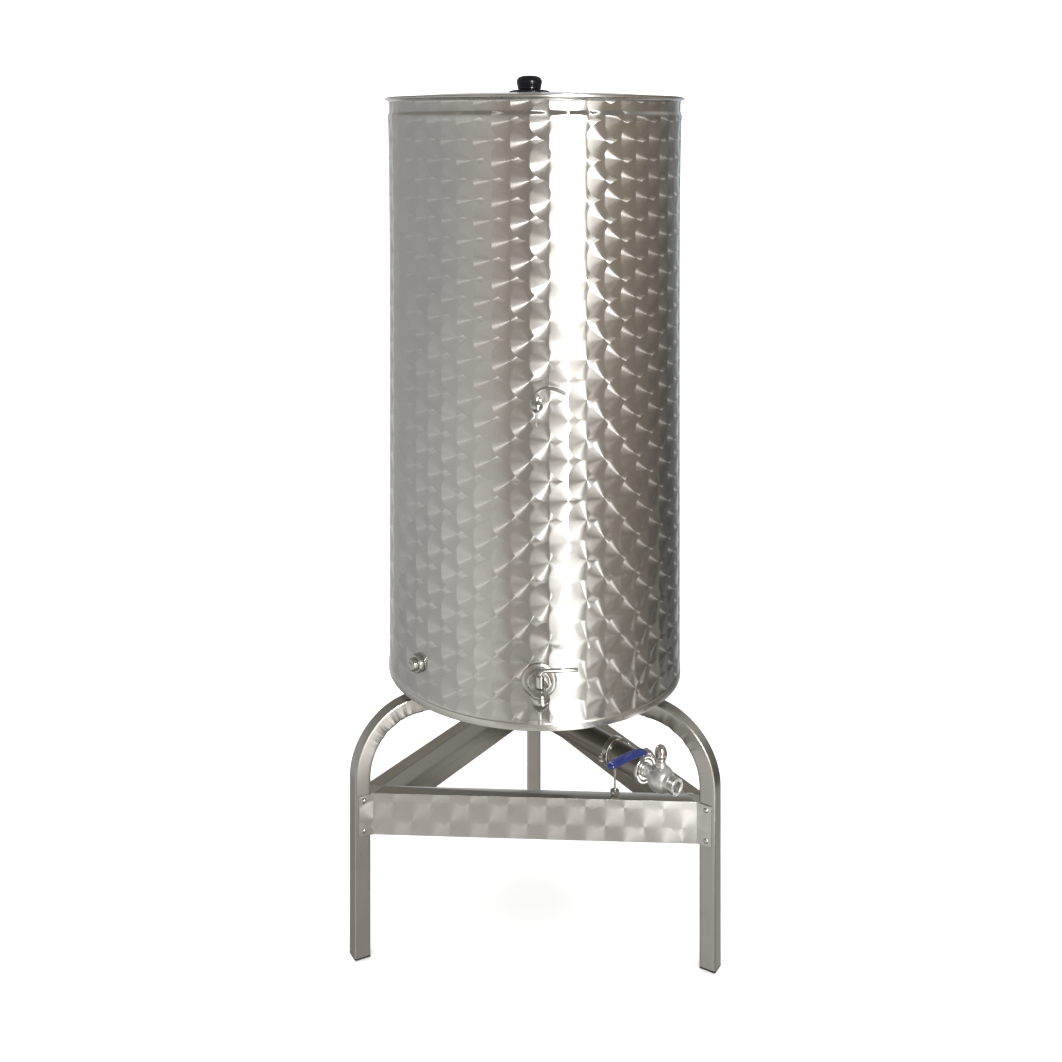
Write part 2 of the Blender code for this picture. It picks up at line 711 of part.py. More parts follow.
def build_clamp(bright, parts, cutters):
    """A clamp round the pipe with an ear on each side, held by a rod that stands on the front rail."""
    inner = DRAIN_PIPE_RADIUS + GAP
    half = CLAMP_WIDTH / 2
    ring_profile = [(inner, half), (CLAMP_RADIUS, half), (CLAMP_RADIUS, -half), (inner, -half)]
    clamp = turned("pipe_clamp", ring_profile, STEPS_LARGE, bright, parts, ring=True)
    lay_outward(clamp, DRAIN_ANGLE, DRAIN_HEIGHT, CLAMP_AT)
    for name, sign in (("clamp_ear_right", 1.0), ("clamp_ear_left", -1.0)):
        ear = box(name, (0.004, 0.014, CLAMP_WIDTH - 0.001), None, parts)
        lay_outward(ear, DRAIN_ANGLE, DRAIN_HEIGHT, CLAMP_AT)
        across = direction(DRAIN_ANGLE + 90.0) * sign * (CLAMP_RADIUS + 0.005)
        ear.location = ear.location + across
        boolean(clamp, ear, "UNION", cutters)

    foot = direction(DRAIN_ANGLE) * CLAMP_AT
    top = DRAIN_HEIGHT - CLAMP_RADIUS - GAP
    low = RAIL_TOP + GAP
    rod_radius = 0.0025
    support = cylinder("support_rod", rod_radius, top - low, STEPS_SMALL, bright, parts)
    support.location = (foot.x, foot.y, (top + low) / 2)
    nut_height = 0.009
    nut = cylinder("support_nut", 0.0095, nut_height, 6, bright, parts)
    nut.location = (foot.x, foot.y, low + nut_height / 2)
    nut_bore = cylinder("nut_bore", rod_radius + GAP, 0.02, STEPS_SMALL, None, parts)
    nut_bore.location = nut.location
    boolean(nut, nut_bore, "DIFFERENCE", cutters)


def valve_body_profile(inlet_face):
    """The ball-shaped housing about its own centre, from the bottom of the outlet's blind bore, out over
    the outlet stub and the ball to the flat inlet face."""
    end = OUTLET_END - VALVE_AT
    bore_bottom = end - OUTLET_BORE_DEPTH
    last_angle = math.degrees(math.acos(inlet_face / VALVE_RADIUS))
    first_angle = math.degrees(math.asin(OUTLET_RADIUS / VALVE_RADIUS)) + 2.0
    ball = []
    for step in range(11):
        angle = math.radians(first_angle + (last_angle - first_angle) * step / 10)
        ball.append((VALVE_RADIUS * math.sin(angle), VALVE_RADIUS * math.cos(angle)))
    chamfer = 0.001
    return [
        (0.0, bore_bottom),
        (OUTLET_BORE, bore_bottom),
        (OUTLET_BORE, end),
        (OUTLET_RADIUS - chamfer, end),
        (OUTLET_RADIUS, end - chamfer),
        (OUTLET_RADIUS, ball[0][1] + chamfer),
        *ball,
        (0.0, inlet_face),
    ]


def build_valve(bright, steel, blue, parts, cutters):
    dish = 0.0050
    cap_profile = [
        (0.0, dish),
        (0.0185, dish),
        (0.0205, 0.0060),
        (0.0250, 0.0060),
        (0.0265, 0.0045),
        (0.0265, 0.0010),
        (0.0255, 0.0),
        (0.0, 0.0),
    ]
    cap = turned("valve_collar", cap_profile, STEPS_LARGE, bright, parts)
    lay_outward(cap, DRAIN_ANGLE, DRAIN_HEIGHT, COLLAR_AT)

    inlet_length = 0.0173
    inlet_profile = [
        (0.0, inlet_length),
        (0.0150, inlet_length),
        (0.0150, 0.0125),
        (0.0175, 0.0115),
        (0.0175, 0.0035),
        (0.0150, 0.0025),
        (0.0150, 0.0),
        (0.0, 0.0),
    ]
    inlet_start = COLLAR_AT + dish + GAP
    inlet = turned("valve_inlet", inlet_profile, STEPS_LARGE, bright, parts)
    lay_outward(inlet, DRAIN_ANGLE, DRAIN_HEIGHT, inlet_start)

    inlet_face = inlet_start + inlet_length + GAP - VALVE_AT
    body = turned("valve_body", valve_body_profile(inlet_face), STEPS_LARGE, steel, parts)
    lay_outward(body, DRAIN_ANGLE, DRAIN_HEIGHT, VALVE_AT)
    neck_top = DRAIN_HEIGHT + VALVE_RADIUS + VALVE_NECK_RISE
    neck_length = 0.014
    neck = cylinder("valve_neck", 0.0085, neck_length, STEPS_MEDIUM, None, parts)
    place(neck, DRAIN_ANGLE, VALVE_AT, neck_top - neck_length / 2)
    boolean(body, neck, "UNION", cutters)

    build_valve_lever(neck_top + GAP, bright, blue, parts, cutters)


def strip_outline(path, thickness):
    """The outline of a bent strip in its side view, half its thickness to each side of the path."""
    sides = ([], [])
    points = [Vector(point) for point in path]
    for index, point in enumerate(points):
        before = (point - points[max(index - 1, 0)]).normalized()
        after = (points[min(index + 1, len(points) - 1)] - point).normalized()
        ahead = (before + after).normalized()
        reach = thickness / 2 / max(ahead.dot(before), ahead.dot(after))
        across = Vector((-ahead.y, ahead.x)) * reach
        sides[0].append(tuple(point + across))
        sides[1].append(tuple(point - across))
    return sides[0] + list(reversed(sides[1]))


def lever_point(distance):
    """A point on the sleeve's middle line, this far along it from the sleeve's start."""
    hub = direction(DRAIN_ANGLE) * VALVE_AT
    pitch = math.radians(LEVER_PITCH)
    reach = SLEEVE_START + distance * math.cos(pitch)
    height = LEVER_HIGH - distance * math.sin(pitch)
    return hub + direction(LEVER_CLOSED_ANGLE) * reach + Vector((0.0, 0.0, height))


def build_valve_lever(hub_bottom, bright, blue, parts, cutters):
    """A hub on the valve's neck, a strip that steps up from it, and a sleeve on the strip's end."""
    hub_height = 0.029
    hub_profile = [
        (0.0, hub_height),
        (0.0040, hub_height - 0.0004),
        (0.0078, hub_height - 0.003),
        (0.0105, hub_height - 0.009),
        (0.0115, hub_height - 0.016),
        (0.0100, 0.006),
        (0.0082, 0.002),
        (0.0082, 0.0),
        (0.0, 0.0),
    ]
    hub = turned("valve_lever_hub", hub_profile, STEPS_MEDIUM, bright, parts)
    place(hub, DRAIN_ANGLE, VALVE_AT, hub_bottom)

    drop = math.tan(math.radians(LEVER_PITCH))
    bend = 0.0275
    path = [
        (0.0118, LEVER_LOW),
        (0.0155, LEVER_LOW),
        (bend, LEVER_HIGH + (SLEEVE_START - bend) * drop),
        (SLEEVE_START + SLEEVE_OVERLAP, LEVER_HIGH - SLEEVE_OVERLAP * drop),
    ]
    arm = plate("valve_lever_arm", strip_outline(path, LEVER_THICKNESS), LEVER_WIDTH, bright, parts)
    arm.rotation_euler = (math.pi / 2, 0.0, math.radians(LEVER_CLOSED_ANGLE))
    arm.location = direction(DRAIN_ANGLE) * VALVE_AT

    turn = (0.0, math.radians(LEVER_PITCH), math.radians(LEVER_CLOSED_ANGLE))
    sleeve = box("valve_lever_sleeve", (SLEEVE_LENGTH, SLEEVE_WIDTH, SLEEVE_THICKNESS), blue, parts)
    sleeve.location = lever_point(SLEEVE_LENGTH / 2)
    sleeve.rotation_euler = turn
    bevel(sleeve, SLEEVE_THICKNESS * 0.4, 3)
    slot_size = (SLEEVE_OVERLAP * 2 + 0.001, LEVER_WIDTH + 0.0006, LEVER_THICKNESS + 0.0006)
    slot = box("sleeve_slot", slot_size, None, parts)
    slot.location = lever_point(0.0)
    slot.rotation_euler = turn
    boolean(sleeve, slot, "DIFFERENCE", cutters)


def build():
    clear_scene()
    parts = make_collection("storage_tank")
    cutters = make_collection("cutters")
    marbled = make_material("marbled_steel", (0.60, 0.58, 0.55), 0.28, 1.0)
    brushed = make_material("lid_steel", (0.62, 0.61, 0.59), 0.30, 1.0)
    tube = make_material("tube_steel", (0.50, 0.48, 0.45), 0.38, 1.0)
    bright = make_material("bright_steel", (0.75, 0.74, 0.72), 0.15, 1.0)
    cast = make_material("cast_steel", (0.55, 0.54, 0.52), 0.45, 1.0)
    black = make_material("black_plastic", (0.012, 0.012, 0.014), 0.35, 0.0)
    glide = make_material("foot_plastic", (0.03, 0.03, 0.03), 0.60, 0.0)
    blue = make_material("blue_rubber", (0.02, 0.05, 0.32), 0.35, 0.0)

    build_tank(marbled, parts, cutters)
    build_lid(brushed, black, bright, parts, cutters)
    for side in ("left", "right", "rear"):
        build_leg(side, tube, glide, parts)
    build_rail("rail_front", "left", "right", marbled, parts)
    build_rail("rail_right", "right", "rear", marbled, parts)
    build_rail("rail_left", "rear", "left", marbled, parts)
    build_main_tap(bright, parts, cutters)
    build_sample_tap(bright, parts, cutters)
    build_side_plug(bright, parts)
    build_drain_pipe(tube, parts)
    build_clamp(bright, parts, cutters)
    build_valve(bright, cast, blue, parts, cutters)


build()
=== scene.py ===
# The looks of a 300 litre stainless steel storage tank on a three-legged stand.
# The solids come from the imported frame. This script gives each of them its finish, replaces the turned,
# bent and moulded pieces by finely shaped ones of the same size, and adds rivets, bolts, a weld and threads.
# Metres, +Z up, the tank's axis on Z, the taps on the -Y side. Angles round the tank are in degrees from +X.

from math import acos, asin, ceil, cos, degrees, exp, pi, radians, sin, sqrt

import bmesh
import bpy
from mathutils import Matrix, Vector


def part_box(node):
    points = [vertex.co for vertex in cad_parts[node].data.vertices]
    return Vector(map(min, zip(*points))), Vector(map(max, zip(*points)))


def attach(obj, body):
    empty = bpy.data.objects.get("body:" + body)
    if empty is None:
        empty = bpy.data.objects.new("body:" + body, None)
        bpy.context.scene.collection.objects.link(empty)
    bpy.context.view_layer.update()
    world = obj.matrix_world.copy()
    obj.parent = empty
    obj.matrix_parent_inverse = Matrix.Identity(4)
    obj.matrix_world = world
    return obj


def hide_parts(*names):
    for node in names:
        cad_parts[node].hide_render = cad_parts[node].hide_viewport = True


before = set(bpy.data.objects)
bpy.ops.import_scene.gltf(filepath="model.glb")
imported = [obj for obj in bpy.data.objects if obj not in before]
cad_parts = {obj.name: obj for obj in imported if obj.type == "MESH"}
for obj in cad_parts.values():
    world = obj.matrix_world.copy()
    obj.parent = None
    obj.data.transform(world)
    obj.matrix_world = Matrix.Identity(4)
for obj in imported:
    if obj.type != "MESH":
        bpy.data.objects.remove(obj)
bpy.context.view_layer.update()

# Gap between pieces that touch, as between the solids
GAP = 0.0003

# Camera, level and at eye height, with the frame shifted down as in the photograph
CAMERA_PLACE = (0.0, -2.532, 1.552)
CAMERA_TURN = 2.97
CAMERA_LENS = 42.59
CAMERA_SHIFT = (0.0587, -0.380)

# Tank
TANK_RADIUS = 0.290
TANK_BOTTOM = 0.476
TANK_TOP = 1.6095
SHELL_WALL = 0.0025
LIP_REACH = 0.0087
RIDGE_TOP = 1.5835
RIDGE_HEIGHT = 1.5735
RIDGE_FOOT = 1.5605
RIDGE_REACH = 0.0044
NECK_REACH = 0.0016
FLARE_REACH = 0.0034
FLARE_FOOT = 1.12
SEAM_HEIGHT = 0.012
SEAM_REACH = 0.0012
WELD_FOOT = 0.492
WELD_STEP = 0.0035
WELD_STEPS = 301

# Swirls on the sheet: discs in columns, each column laid over the one before. The dish is how far the
# sheet's normal leans away from a disc's centre, for each metre from it.
SWIRL_RADIUS = 0.0364
SWIRL_COLUMN = 0.0347
SWIRL_PITCH = 0.0716
SWIRL_DISH = -0.25
# The next is half the width of a line of painted shade just inside the rim of each disc that lies over
# another
SWIRL_RIM_SHADE = 0.0005
SWIRL_RINGS = 620.0
SHEET_TURN = 0.0420
SHEET_LIFT = 0.0105
RAIL_SHEET_DROP = 0.020
RAIL_SHEET_SHIFT = 0.012
MARBLED_COLOUR = (0.655, 0.643, 0.622)
RAIL_COLOUR = (0.725, 0.712, 0.685)
# The colour of that painted shade along the discs' rims
RIM_SHADE_COLOUR = (0.30, 0.28, 0.26)

# Lid, and the knob's profiles from the top down, as radius and height over the lid
LID_RADIUS = 0.2971
LID_SHEET = 0.0020
LID_SKIRT_RADIUS = 0.2825
LID_SKIRT_DEPTH = 0.014
LID_CROWN = 0.010
KNOB_SHIFT = -0.0090
KNOB_BASE = (
    (0.0215, 0.0065), (0.0320, 0.0054), (0.0395, 0.0036), (0.0410, 0.0022), (0.0405, 0.0),
)
KNOB_HEAD = (
    (0.0, 0.0345), (0.0120, 0.0342), (0.0205, 0.0318), (0.0252, 0.0265), (0.0260, 0.0215),
    (0.0246, 0.0145), (0.0236, 0.0100), (0.0240, 0.0068),
)

# Stand
LEG_ACROSS = 0.031
LEG_DEEP = 0.032
LEG_TOP = 0.466
LEG_FOOT = 0.0043
LEG_BEND = 0.133
LEG_RUN_IN = 0.0065
LEG_CORNER = 0.0045
LEG_STRAIGHT_STEPS = 12
LEG_BEND_STEPS = 88
LEG_REACH = {"left": 0.376, "right": 0.376, "rear": 0.338}
LEG_ANGLE = {"left": -150.0, "right": -30.0, "rear": 90.0}
RAIL_ENDS = {"rail_front": ("left", "right"), "rail_right": ("right", "rear"), "rail_left": ("rear", "left")}
RAIL_TOP = 0.307
RAIL_SHEET = 0.002
RIVET_DROPS = (0.011, 0.067)
RIVET_INWARD = 0.0015

# Main tap
TAP_ANGLE = -88.1
TAP_HEIGHT = 0.5665
TAP_FLANGE_RADIUS = 0.0315
TAP_BARREL_START = 0.0092
TAP_BARREL_DROP = 0.004
TAP_BULB_RADIUS = 0.0174
TAP_BULB_TOP = 0.574
TAP_BULB_BOTTOM = 0.535
TAP_SPOUT_RADIUS = 0.0043
TAP_SPOUT_WALL = 0.0012
TAP_SPOUT_END = 0.5107
TAP_LEVER_HEIGHT = 0.6035
TAP_LEVER_LENGTH = 0.066
TAP_LEVER_RADIUS = 0.0038
TAP_LEVER_BEND = 0.006
TAP_LEVER_TURN = 8.0

# Sample tap
SAMPLE_ANGLE = -89.1
SAMPLE_HEIGHT = 1.062
SAMPLE_REACH = 0.030
SAMPLE_BARREL_START = 0.0060
SAMPLE_BALL_RADIUS = 0.0115
SAMPLE_SPOUT_RADIUS = 0.0023
SAMPLE_SPOUT_WALL = 0.0008
SAMPLE_SPOUT_DROP = 0.0368
SAMPLE_LEVER_HEIGHT = 1.0868
SAMPLE_LEVER_LENGTH = 0.051
SAMPLE_LEVER_RADIUS = 0.0031
SAMPLE_LEVER_ARCH = 0.0085
SAMPLE_LEVER_DROP = 0.003

# Plugged side outlet
PLUG_ANGLE = -137.7
PLUG_HEIGHT = 0.5532
PLUG_BOSS_RADIUS = 0.0175
PLUG_BOSS_REACH = 0.0095

# Drain: pipe, clamp on a stud, end cap and ball valve, all on one level line out from the tank's axis
DRAIN_ANGLE = -49.5
DRAIN_HEIGHT = 0.386
DRAIN_PIPE_RADIUS = 0.024
DRAIN_BEND = 0.050
CLAMP_AT = 0.2324
CLAMP_RADIUS = 0.0285
CLAMP_WIDTH = 0.012
BOLT_FLATS = 0.0080
BOLT_RADIUS = 0.0022
STUD_RADIUS = 0.0025
STUD_PITCH = 0.0008
STUD_THREAD = 0.0003
STUD_HOLLOW = 0.0004
NUT_FLATS = 0.0165
NUT_HEIGHT = 0.009
CAP_AT = 0.3075
CAP_DISH = 0.0050
INLET_LENGTH = 0.0173
VALVE_AT = 0.350
VALVE_RADIUS = 0.025
VALVE_NECK_RISE = 0.0055
OUTLET_END = 0.390
OUTLET_RADIUS = 0.0155
OUTLET_ROOT = 0.0147
OUTLET_BORE = 0.0092
OUTLET_BORE_DEPTH = 0.025
LEVER_ANGLE = -146.5
LEVER_HIGH = 0.443
LEVER_PITCH = 5.0
SLEEVE_START = 0.038
SLEEVE_LENGTH = 0.080
SLEEVE_WIDTH = 0.018
SLEEVE_THICKNESS = 0.008
SLEEVE_ARCH = 0.0028
SLEEVE_STEPS = 60

# Sides of the turned pieces, by their size
STEPS_TANK = 192
STEPS_LARGE = 96
STEPS_MEDIUM = 64
STEPS_SMALL = 48


class Graph:
    """Adds shader nodes to a node tree and links them. Where a share picks between two inputs, 0 gives the
    first and 1 the second."""

    def __init__(self, tree):
        self.tree = tree

    def add(self, kind, *sources, **settings):
        node = self.tree.nodes.new(kind)
        for key, value in settings.items():
            setattr(node, key, value)
        for socket, source in zip(node.inputs, sources):
            self.feed(socket, source)
        return node

    def feed(self, socket, source):
        if isinstance(source, bpy.types.NodeSocket):
            self.tree.links.new(source, socket)
        elif source is not None:
            socket.default_value = source

    def math(self, operation, *sources):
        return self.add("ShaderNodeMath", *sources, operation=operation).outputs[0]

    def times(self, first, second):
        return self.math("MULTIPLY", first, second)

    def vector(self, operation, *sources):
        return self.add("ShaderNodeVectorMath", *sources, operation=operation).outputs[0]

    def dot(self, first, second):
        return self.add("ShaderNodeVectorMath", first, second, operation="DOT_PRODUCT").outputs["Value"]

    def scaled(self, vector, amount):
        node = self.add("ShaderNodeVectorMath", vector, operation="SCALE")
        self.feed(node.inputs["Scale"], amount)
        return node.outputs[0]

    def split(self, vector):
        return self.add("ShaderNodeSeparateXYZ", vector).outputs

    def join(self, x, y, z):
        return self.add("ShaderNodeCombineXYZ", x, y, z).outputs[0]

    def span(self, value, low, high):
        """Maps 0 to 1 on to low to high."""
        return self.math("MULTIPLY_ADD", value, high - low, low)

    def fade(self, value, start, end):
        """0 up to the start and 1 from the end on."""
        return self.add("ShaderNodeMapRange", value, start, end).outputs["Result"]

    def choose(self, share, first, second):
        """One of two values."""
        step = self.math("SUBTRACT", second, first)
        return self.math("MULTIPLY_ADD", share, step, first)

    def blend(self, share, first, second):
        """One of two vectors."""
        rest = self.math("SUBTRACT", 1.0, share)
        return self.vector("ADD", self.scaled(second, share), self.scaled(first, rest))

    def mix(self, share, first, second):
        """One of two colours."""
        node = self.add("ShaderNodeMix", data_type="RGBA")
        inputs = {socket.identifier: socket for socket in node.inputs}
        outputs = {socket.identifier: socket for socket in node.outputs}
        self.feed(inputs["Factor_Float"], share)
        self.feed(inputs["A_Color"], first)
        self.feed(inputs["B_Color"], second)
        return outputs["Result_Color"]

    def noise(self, vector, scale, detail=2.0, stretch=None):
        if stretch:
            vector = self.vector("MULTIPLY", vector, stretch)
        node = self.add("ShaderNodeTexNoise")
        self.feed(node.inputs["Vector"], vector)
        node.inputs["Scale"].default_value = scale
        node.inputs["Detail"].default_value = detail
        return node.outputs["Fac"]

    def ramp(self, value, *stops):
        """A colour ramp. Each stop is a place from 0 to 1 and a colour."""
        node = self.add("ShaderNodeValToRGB", value)
        elements = node.color_ramp.elements
        while len(elements) < len(stops):
            elements.new(0.5)
        for element, (place, colour) in zip(elements, stops):
            element.position = place
            element.color = (*colour, 1.0)
        return node.outputs["Color"]

    def varied(self, value, low, high, colour, spread):
        """The colour, darker by the spread where the value is low and lighter where it is high."""
        dark, light = (tuple(part * (1 + sign * spread) for part in colour) for sign in (-1, 1))
        return self.ramp(value, (low, dark), (high, light))

    def bump(self, height, strength, distance, normal=None):
        node = self.add("ShaderNodeBump")
        self.feed(node.inputs["Normal"], normal)
        node.inputs["Strength"].default_value = strength
        node.inputs["Distance"].default_value = distance
        self.feed(node.inputs["Height"], height)
        return node.outputs["Normal"]


def new_material(name, metallic, roughness):
    """A material, its node graph, its shader and the place on the surface in the piece's own axes."""
    material = bpy.data.materials.new(name)
    material.use_nodes = True
    graph = Graph(material.node_tree)
    shader = material.node_tree.nodes["Principled BSDF"]
    shader.inputs["Metallic"].default_value = metallic
    shader.inputs["Roughness"].default_value = roughness
    place = graph.add("ShaderNodeTexCoord").outputs["Object"]
    return material, graph, shader, place


def finish(graph, shader, colour, roughness, normal):
    graph.feed(shader.inputs["Base Color"], colour)
    graph.feed(shader.inputs["Roughness"], roughness)
    graph.feed(shader.inputs["Normal"], normal)


def nearest_disc(graph, column, along, step):
    """The nearest disc of this place's column, or of the next one where step is 1: how far the place is
    from its centre, across and along the columns and in all, and the disc's number."""
    index = graph.math("FLOOR", column)
    inside = graph.math("SUBTRACT", column, index)
    own = graph.math("ADD", index, float(step))
    odd = graph.math("FLOORED_MODULO", own, 2.0)
    row = graph.math("MULTIPLY_ADD", odd, 0.5, graph.times(along, 1 / SWIRL_PITCH))
    number = graph.math("ROUND", row)
    up = graph.times(graph.math("SUBTRACT", row, number), SWIRL_PITCH)
    side = graph.times(graph.math("SUBTRACT", inside, float(step)), SWIRL_COLUMN)
    square = graph.math("MULTIPLY_ADD", up, up, graph.times(side, side))
    return side, up, graph.math("SQRT", square), graph.math("MULTIPLY_ADD", number, 7.0, own)


def swirled(name, sheet, roughness=0.215, face=None, stretch=1.0, tint=MARBLED_COLOUR):
    """Engine-turned steel. The sheet function gives the place on the sheet, across the columns and along
    them, and the two directions in space. Each disc's scratches run round its own centre. Where a face
    direction is given, only that side has the discs and the others are plain."""
    material, graph, shader, place = new_material(name, 1.0, roughness)
    across, along, across_axis, along_axis = sheet(graph, place)
    column = graph.times(across, 1 / SWIRL_COLUMN)
    under = nearest_disc(graph, column, along, 0)
    over = nearest_disc(graph, column, along, 1)
    covered = graph.math("LESS_THAN", over[2], SWIRL_RADIUS)
    side, up, distance, number = (graph.choose(covered, low, high) for low, high in zip(under, over))
    spoke = graph.vector("ADD", graph.scaled(across_axis, side), graph.scaled(along_axis, up))
    normal = graph.add("ShaderNodeNewGeometry").outputs["Normal"]
    dished = graph.vector("NORMALIZE", graph.vector("ADD", normal, graph.scaled(spoke, SWIRL_DISH)))

    spot = graph.add("ShaderNodeTexWhiteNoise", noise_dimensions="1D")
    graph.feed(spot.inputs["W"], number)
    tone = spot.outputs["Value"]
    cloud = graph.noise(place, 9.0, 3.0)
    rings = graph.add("ShaderNodeTexNoise", noise_dimensions="2D")
    graph.feed(rings.inputs["Vector"], graph.join(graph.times(distance, SWIRL_RINGS), number, 0.0))
    ring = rings.outputs["Fac"]

    # Painted shade: a thin dark line just inside the rim of each disc that lies over another
    rim = graph.times(graph.math("COMPARE", over[2], SWIRL_RADIUS - SWIRL_RIM_SHADE, SWIRL_RIM_SHADE), 0.12)
    shade = graph.math("MULTIPLY_ADD", tone, 0.35, graph.times(ring, 0.65))
    rough = graph.math("MULTIPLY_ADD", cloud, 0.06, graph.span(ring, roughness - 0.04, roughness))
    if face:
        marked = graph.math("GREATER_THAN", graph.dot(normal, tuple(face)), 0.5)
        shade = graph.choose(marked, graph.times(cloud, 0.8), shade)
        rough = graph.choose(marked, graph.math("MULTIPLY_ADD", cloud, 0.08, 0.17), rough)
        ring = graph.times(ring, marked)
        rim = graph.times(rim, marked)
        dished = graph.blend(marked, normal, dished)
        spoke = graph.blend(marked, along_axis, graph.vector("NORMALIZE", spoke))
    colour = graph.mix(rim, graph.varied(shade, 0.2, 0.8, tint, 0.05), (*RIM_SHADE_COLOUR, 1.0))
    finish(graph, shader, colour, rough, graph.bump(ring, 1.0, 0.000004, dished))
    graph.feed(shader.inputs["Tangent"], graph.vector("NORMALIZE", spoke))
    shader.inputs["Anisotropic"].default_value = stretch
    return material


def round_sheet(graph, place):
    """The tank's sheet, from the -Y side round to the right, and up."""
    x, y, z = graph.split(place)
    turn = graph.math("ARCTAN2", x, graph.times(y, -1.0))
    across = graph.math("MULTIPLY_ADD", turn, TANK_RADIUS, SHEET_TURN)
    side = graph.join(graph.math("COSINE", turn), graph.math("SINE", turn), 0.0)
    return across, graph.math("ADD", z, SHEET_LIFT), side, (0.0, 0.0, 1.0)


def rail_sheet(along):
    """A rail's web. Its rows run along it, and each row is laid over the one above."""

    def sheet(graph, place):
        down = graph.math("SUBTRACT", RAIL_TOP + RAIL_SHEET_DROP, graph.split(place)[2])
        run = graph.dot(place, tuple(along))
        return down, graph.math("ADD", run, RAIL_SHEET_SHIFT), (0.0, 0.0, -1.0), tuple(along)

    return sheet


def brushed(name, colour, roughness, grain):
    """Steel brushed in straight lines. The grain scales the noise, least along the lines."""
    material, graph, shader, place = new_material(name, 1.0, roughness)
    lines = graph.noise(place, 900.0, 3.0, grain)
    cloud = graph.noise(place, 14.0, 3.0)
    shade = graph.math("MULTIPLY_ADD", cloud, 0.6, graph.times(lines, 0.4))
    rough = graph.math("MULTIPLY_ADD", cloud, 0.10, graph.span(lines, roughness - 0.09, roughness + 0.01))
    normal = graph.bump(lines, 0.35, 0.00002)
    finish(graph, shader, graph.varied(shade, 0.25, 0.75, colour, 0.07), rough, normal)
    return material


def turned_steel(name, colour, roughness, marks):
    """Steel turned on a lathe about the piece's own Z, with fine rings round it as deep as the marks."""
    material, graph, shader, place = new_material(name, 1.0, roughness)
    x, y, z = graph.split(place)
    radius = graph.math("SQRT", graph.math("MULTIPLY_ADD", x, x, graph.times(y, y)))
    rings = graph.noise(graph.join(radius, 0.0, z), 2600.0, 2.0)
    cloud = graph.noise(place, 60.0, 3.0)
    rough = graph.math("MULTIPLY_ADD", cloud, 0.08, roughness - 0.04)
    finish(graph, shader, graph.varied(cloud, 0.3, 0.7, colour, 0.05), rough, graph.bump(rings, 0.4, marks))
    return material


def cast_steel(name, colour, roughness):
    """Cast and bead-blasted steel, with a fine pebbled skin and a tone that varies in soft patches."""
    material, graph, shader, place = new_material(name, 1.0, roughness)
    pebbles = graph.noise(place, 1100.0, 2.0)
    cloud = graph.noise(place, 70.0, 4.0)
    rough = graph.span(cloud, roughness - 0.08, roughness + 0.10)
    normal = graph.bump(pebbles, 0.5, 0.00012)
    finish(graph, shader, graph.varied(cloud, 0.3, 0.7, colour, 0.12), rough, normal)
    return material


def moulded(name, colour, roughness, coat=0.0, shine=0.5):
    """Moulded plastic or dipped vinyl, faintly uneven, with soft wear in its gloss."""
    material, graph, shader, place = new_material(name, 0.0, roughness)
    cloud = graph.noise(place, 55.0, 4.0)
    fine = graph.noise(place, 700.0, 2.0)
    rough = graph.span(cloud, roughness - 0.05, roughness + 0.07)
    normal = graph.bump(fine, 0.4, 0.00004)
    finish(graph, shader, graph.varied(cloud, 0.3, 0.7, colour, 0.14), rough, normal)
    shader.inputs["Coat Weight"].default_value = coat
    shader.inputs["Coat Roughness"].default_value = 0.08
    shader.inputs["Specular IOR Level"].default_value = shine
    return material


def arc(centre, radius, start, end, count):
    """Points on an arc from the start angle to the end angle in degrees."""
    points = []
    for step in range(count + 1):
        angle = radians(start + (end - start) * step / count)
        points.append((centre[0] + radius * cos(angle), centre[1] + radius * sin(angle)))
    return points


def spread(first, last, count):
    """Evenly spaced values from the first up to, and without, the last."""
    return [first + (last - first) * step / count for step in range(count)]


def between(first, second, longest=0.004):
    """The first point and evenly spaced points up to the second."""
    count = max(1, ceil((Vector(second) - Vector(first)).length / longest))
    return [tuple(Vector(first).lerp(Vector(second), step / count)) for step in range(count)]


def soften(points, radius, count=4, closed=False):
    """Rounds each corner with a short curve that starts the radius away from it."""
    size = len(points)
    result = []
    for index, point in enumerate(points):
        if not closed and index in (0, size - 1):
            result.append(tuple(point))
            continue
        corner = Vector(point)
        before = Vector(points[index - 1]) - corner
        after = Vector(points[(index + 1) % size]) - corner
        start = corner + before.normalized() * min(radius, before.length * 0.48)
        end = corner + after.normalized() * min(radius, after.length * 0.48)
        for step in range(count + 1):
            share = step / count
            bend = start.lerp(corner, share).lerp(corner.lerp(end, share), share)
            result.append(tuple(bend))
    return result


def circle(radius, sides):
    """A round section for a swept bar."""
    points = arc((0.0, 0.0), radius, 0, 360 - 360 / sides, sides - 1)
    return lambda share: points


def rounded_bar(wide, deep, corner, count):
    """A rectangle with rounded corners, as the section of a bar."""
    a, b = wide / 2, deep / 2
    return soften([(a, b), (-a, b), (-a, -b), (a, -b)], corner, count, closed=True)


def tube_wall(bore, radius, top, bottom):
    """The section of a short tube, as a closed loop."""
    return [(bore, top), (radius, top), (radius, bottom), (bore, bottom)]


def loop(bm, radii, height):
    """A closed row of vertices about Z, with a radius for each."""
    row = []
    for step, radius in enumerate(radii):
        angle = 2 * pi * step / len(radii)
        row.append(bm.verts.new((radius * cos(angle), radius * sin(angle), height)))
    return row


def bridge(bm, low, high):
    """Faces between two rows of as many vertices."""
    for index in range(len(low)):
        following = (index + 1) % len(low)
        bm.faces.new((low[index], low[following], high[following], high[index]))


def skinned(bm, rows):
    """Makes the rows of vertices one closed body, with a face at each end."""
    for low, high in zip(rows, rows[1:]):
        bridge(bm, low, high)
    bm.faces.new(rows[0])
    bm.faces.new(rows[-1])
    bmesh.ops.recalc_face_normals(bm, faces=bm.faces)
    return bm


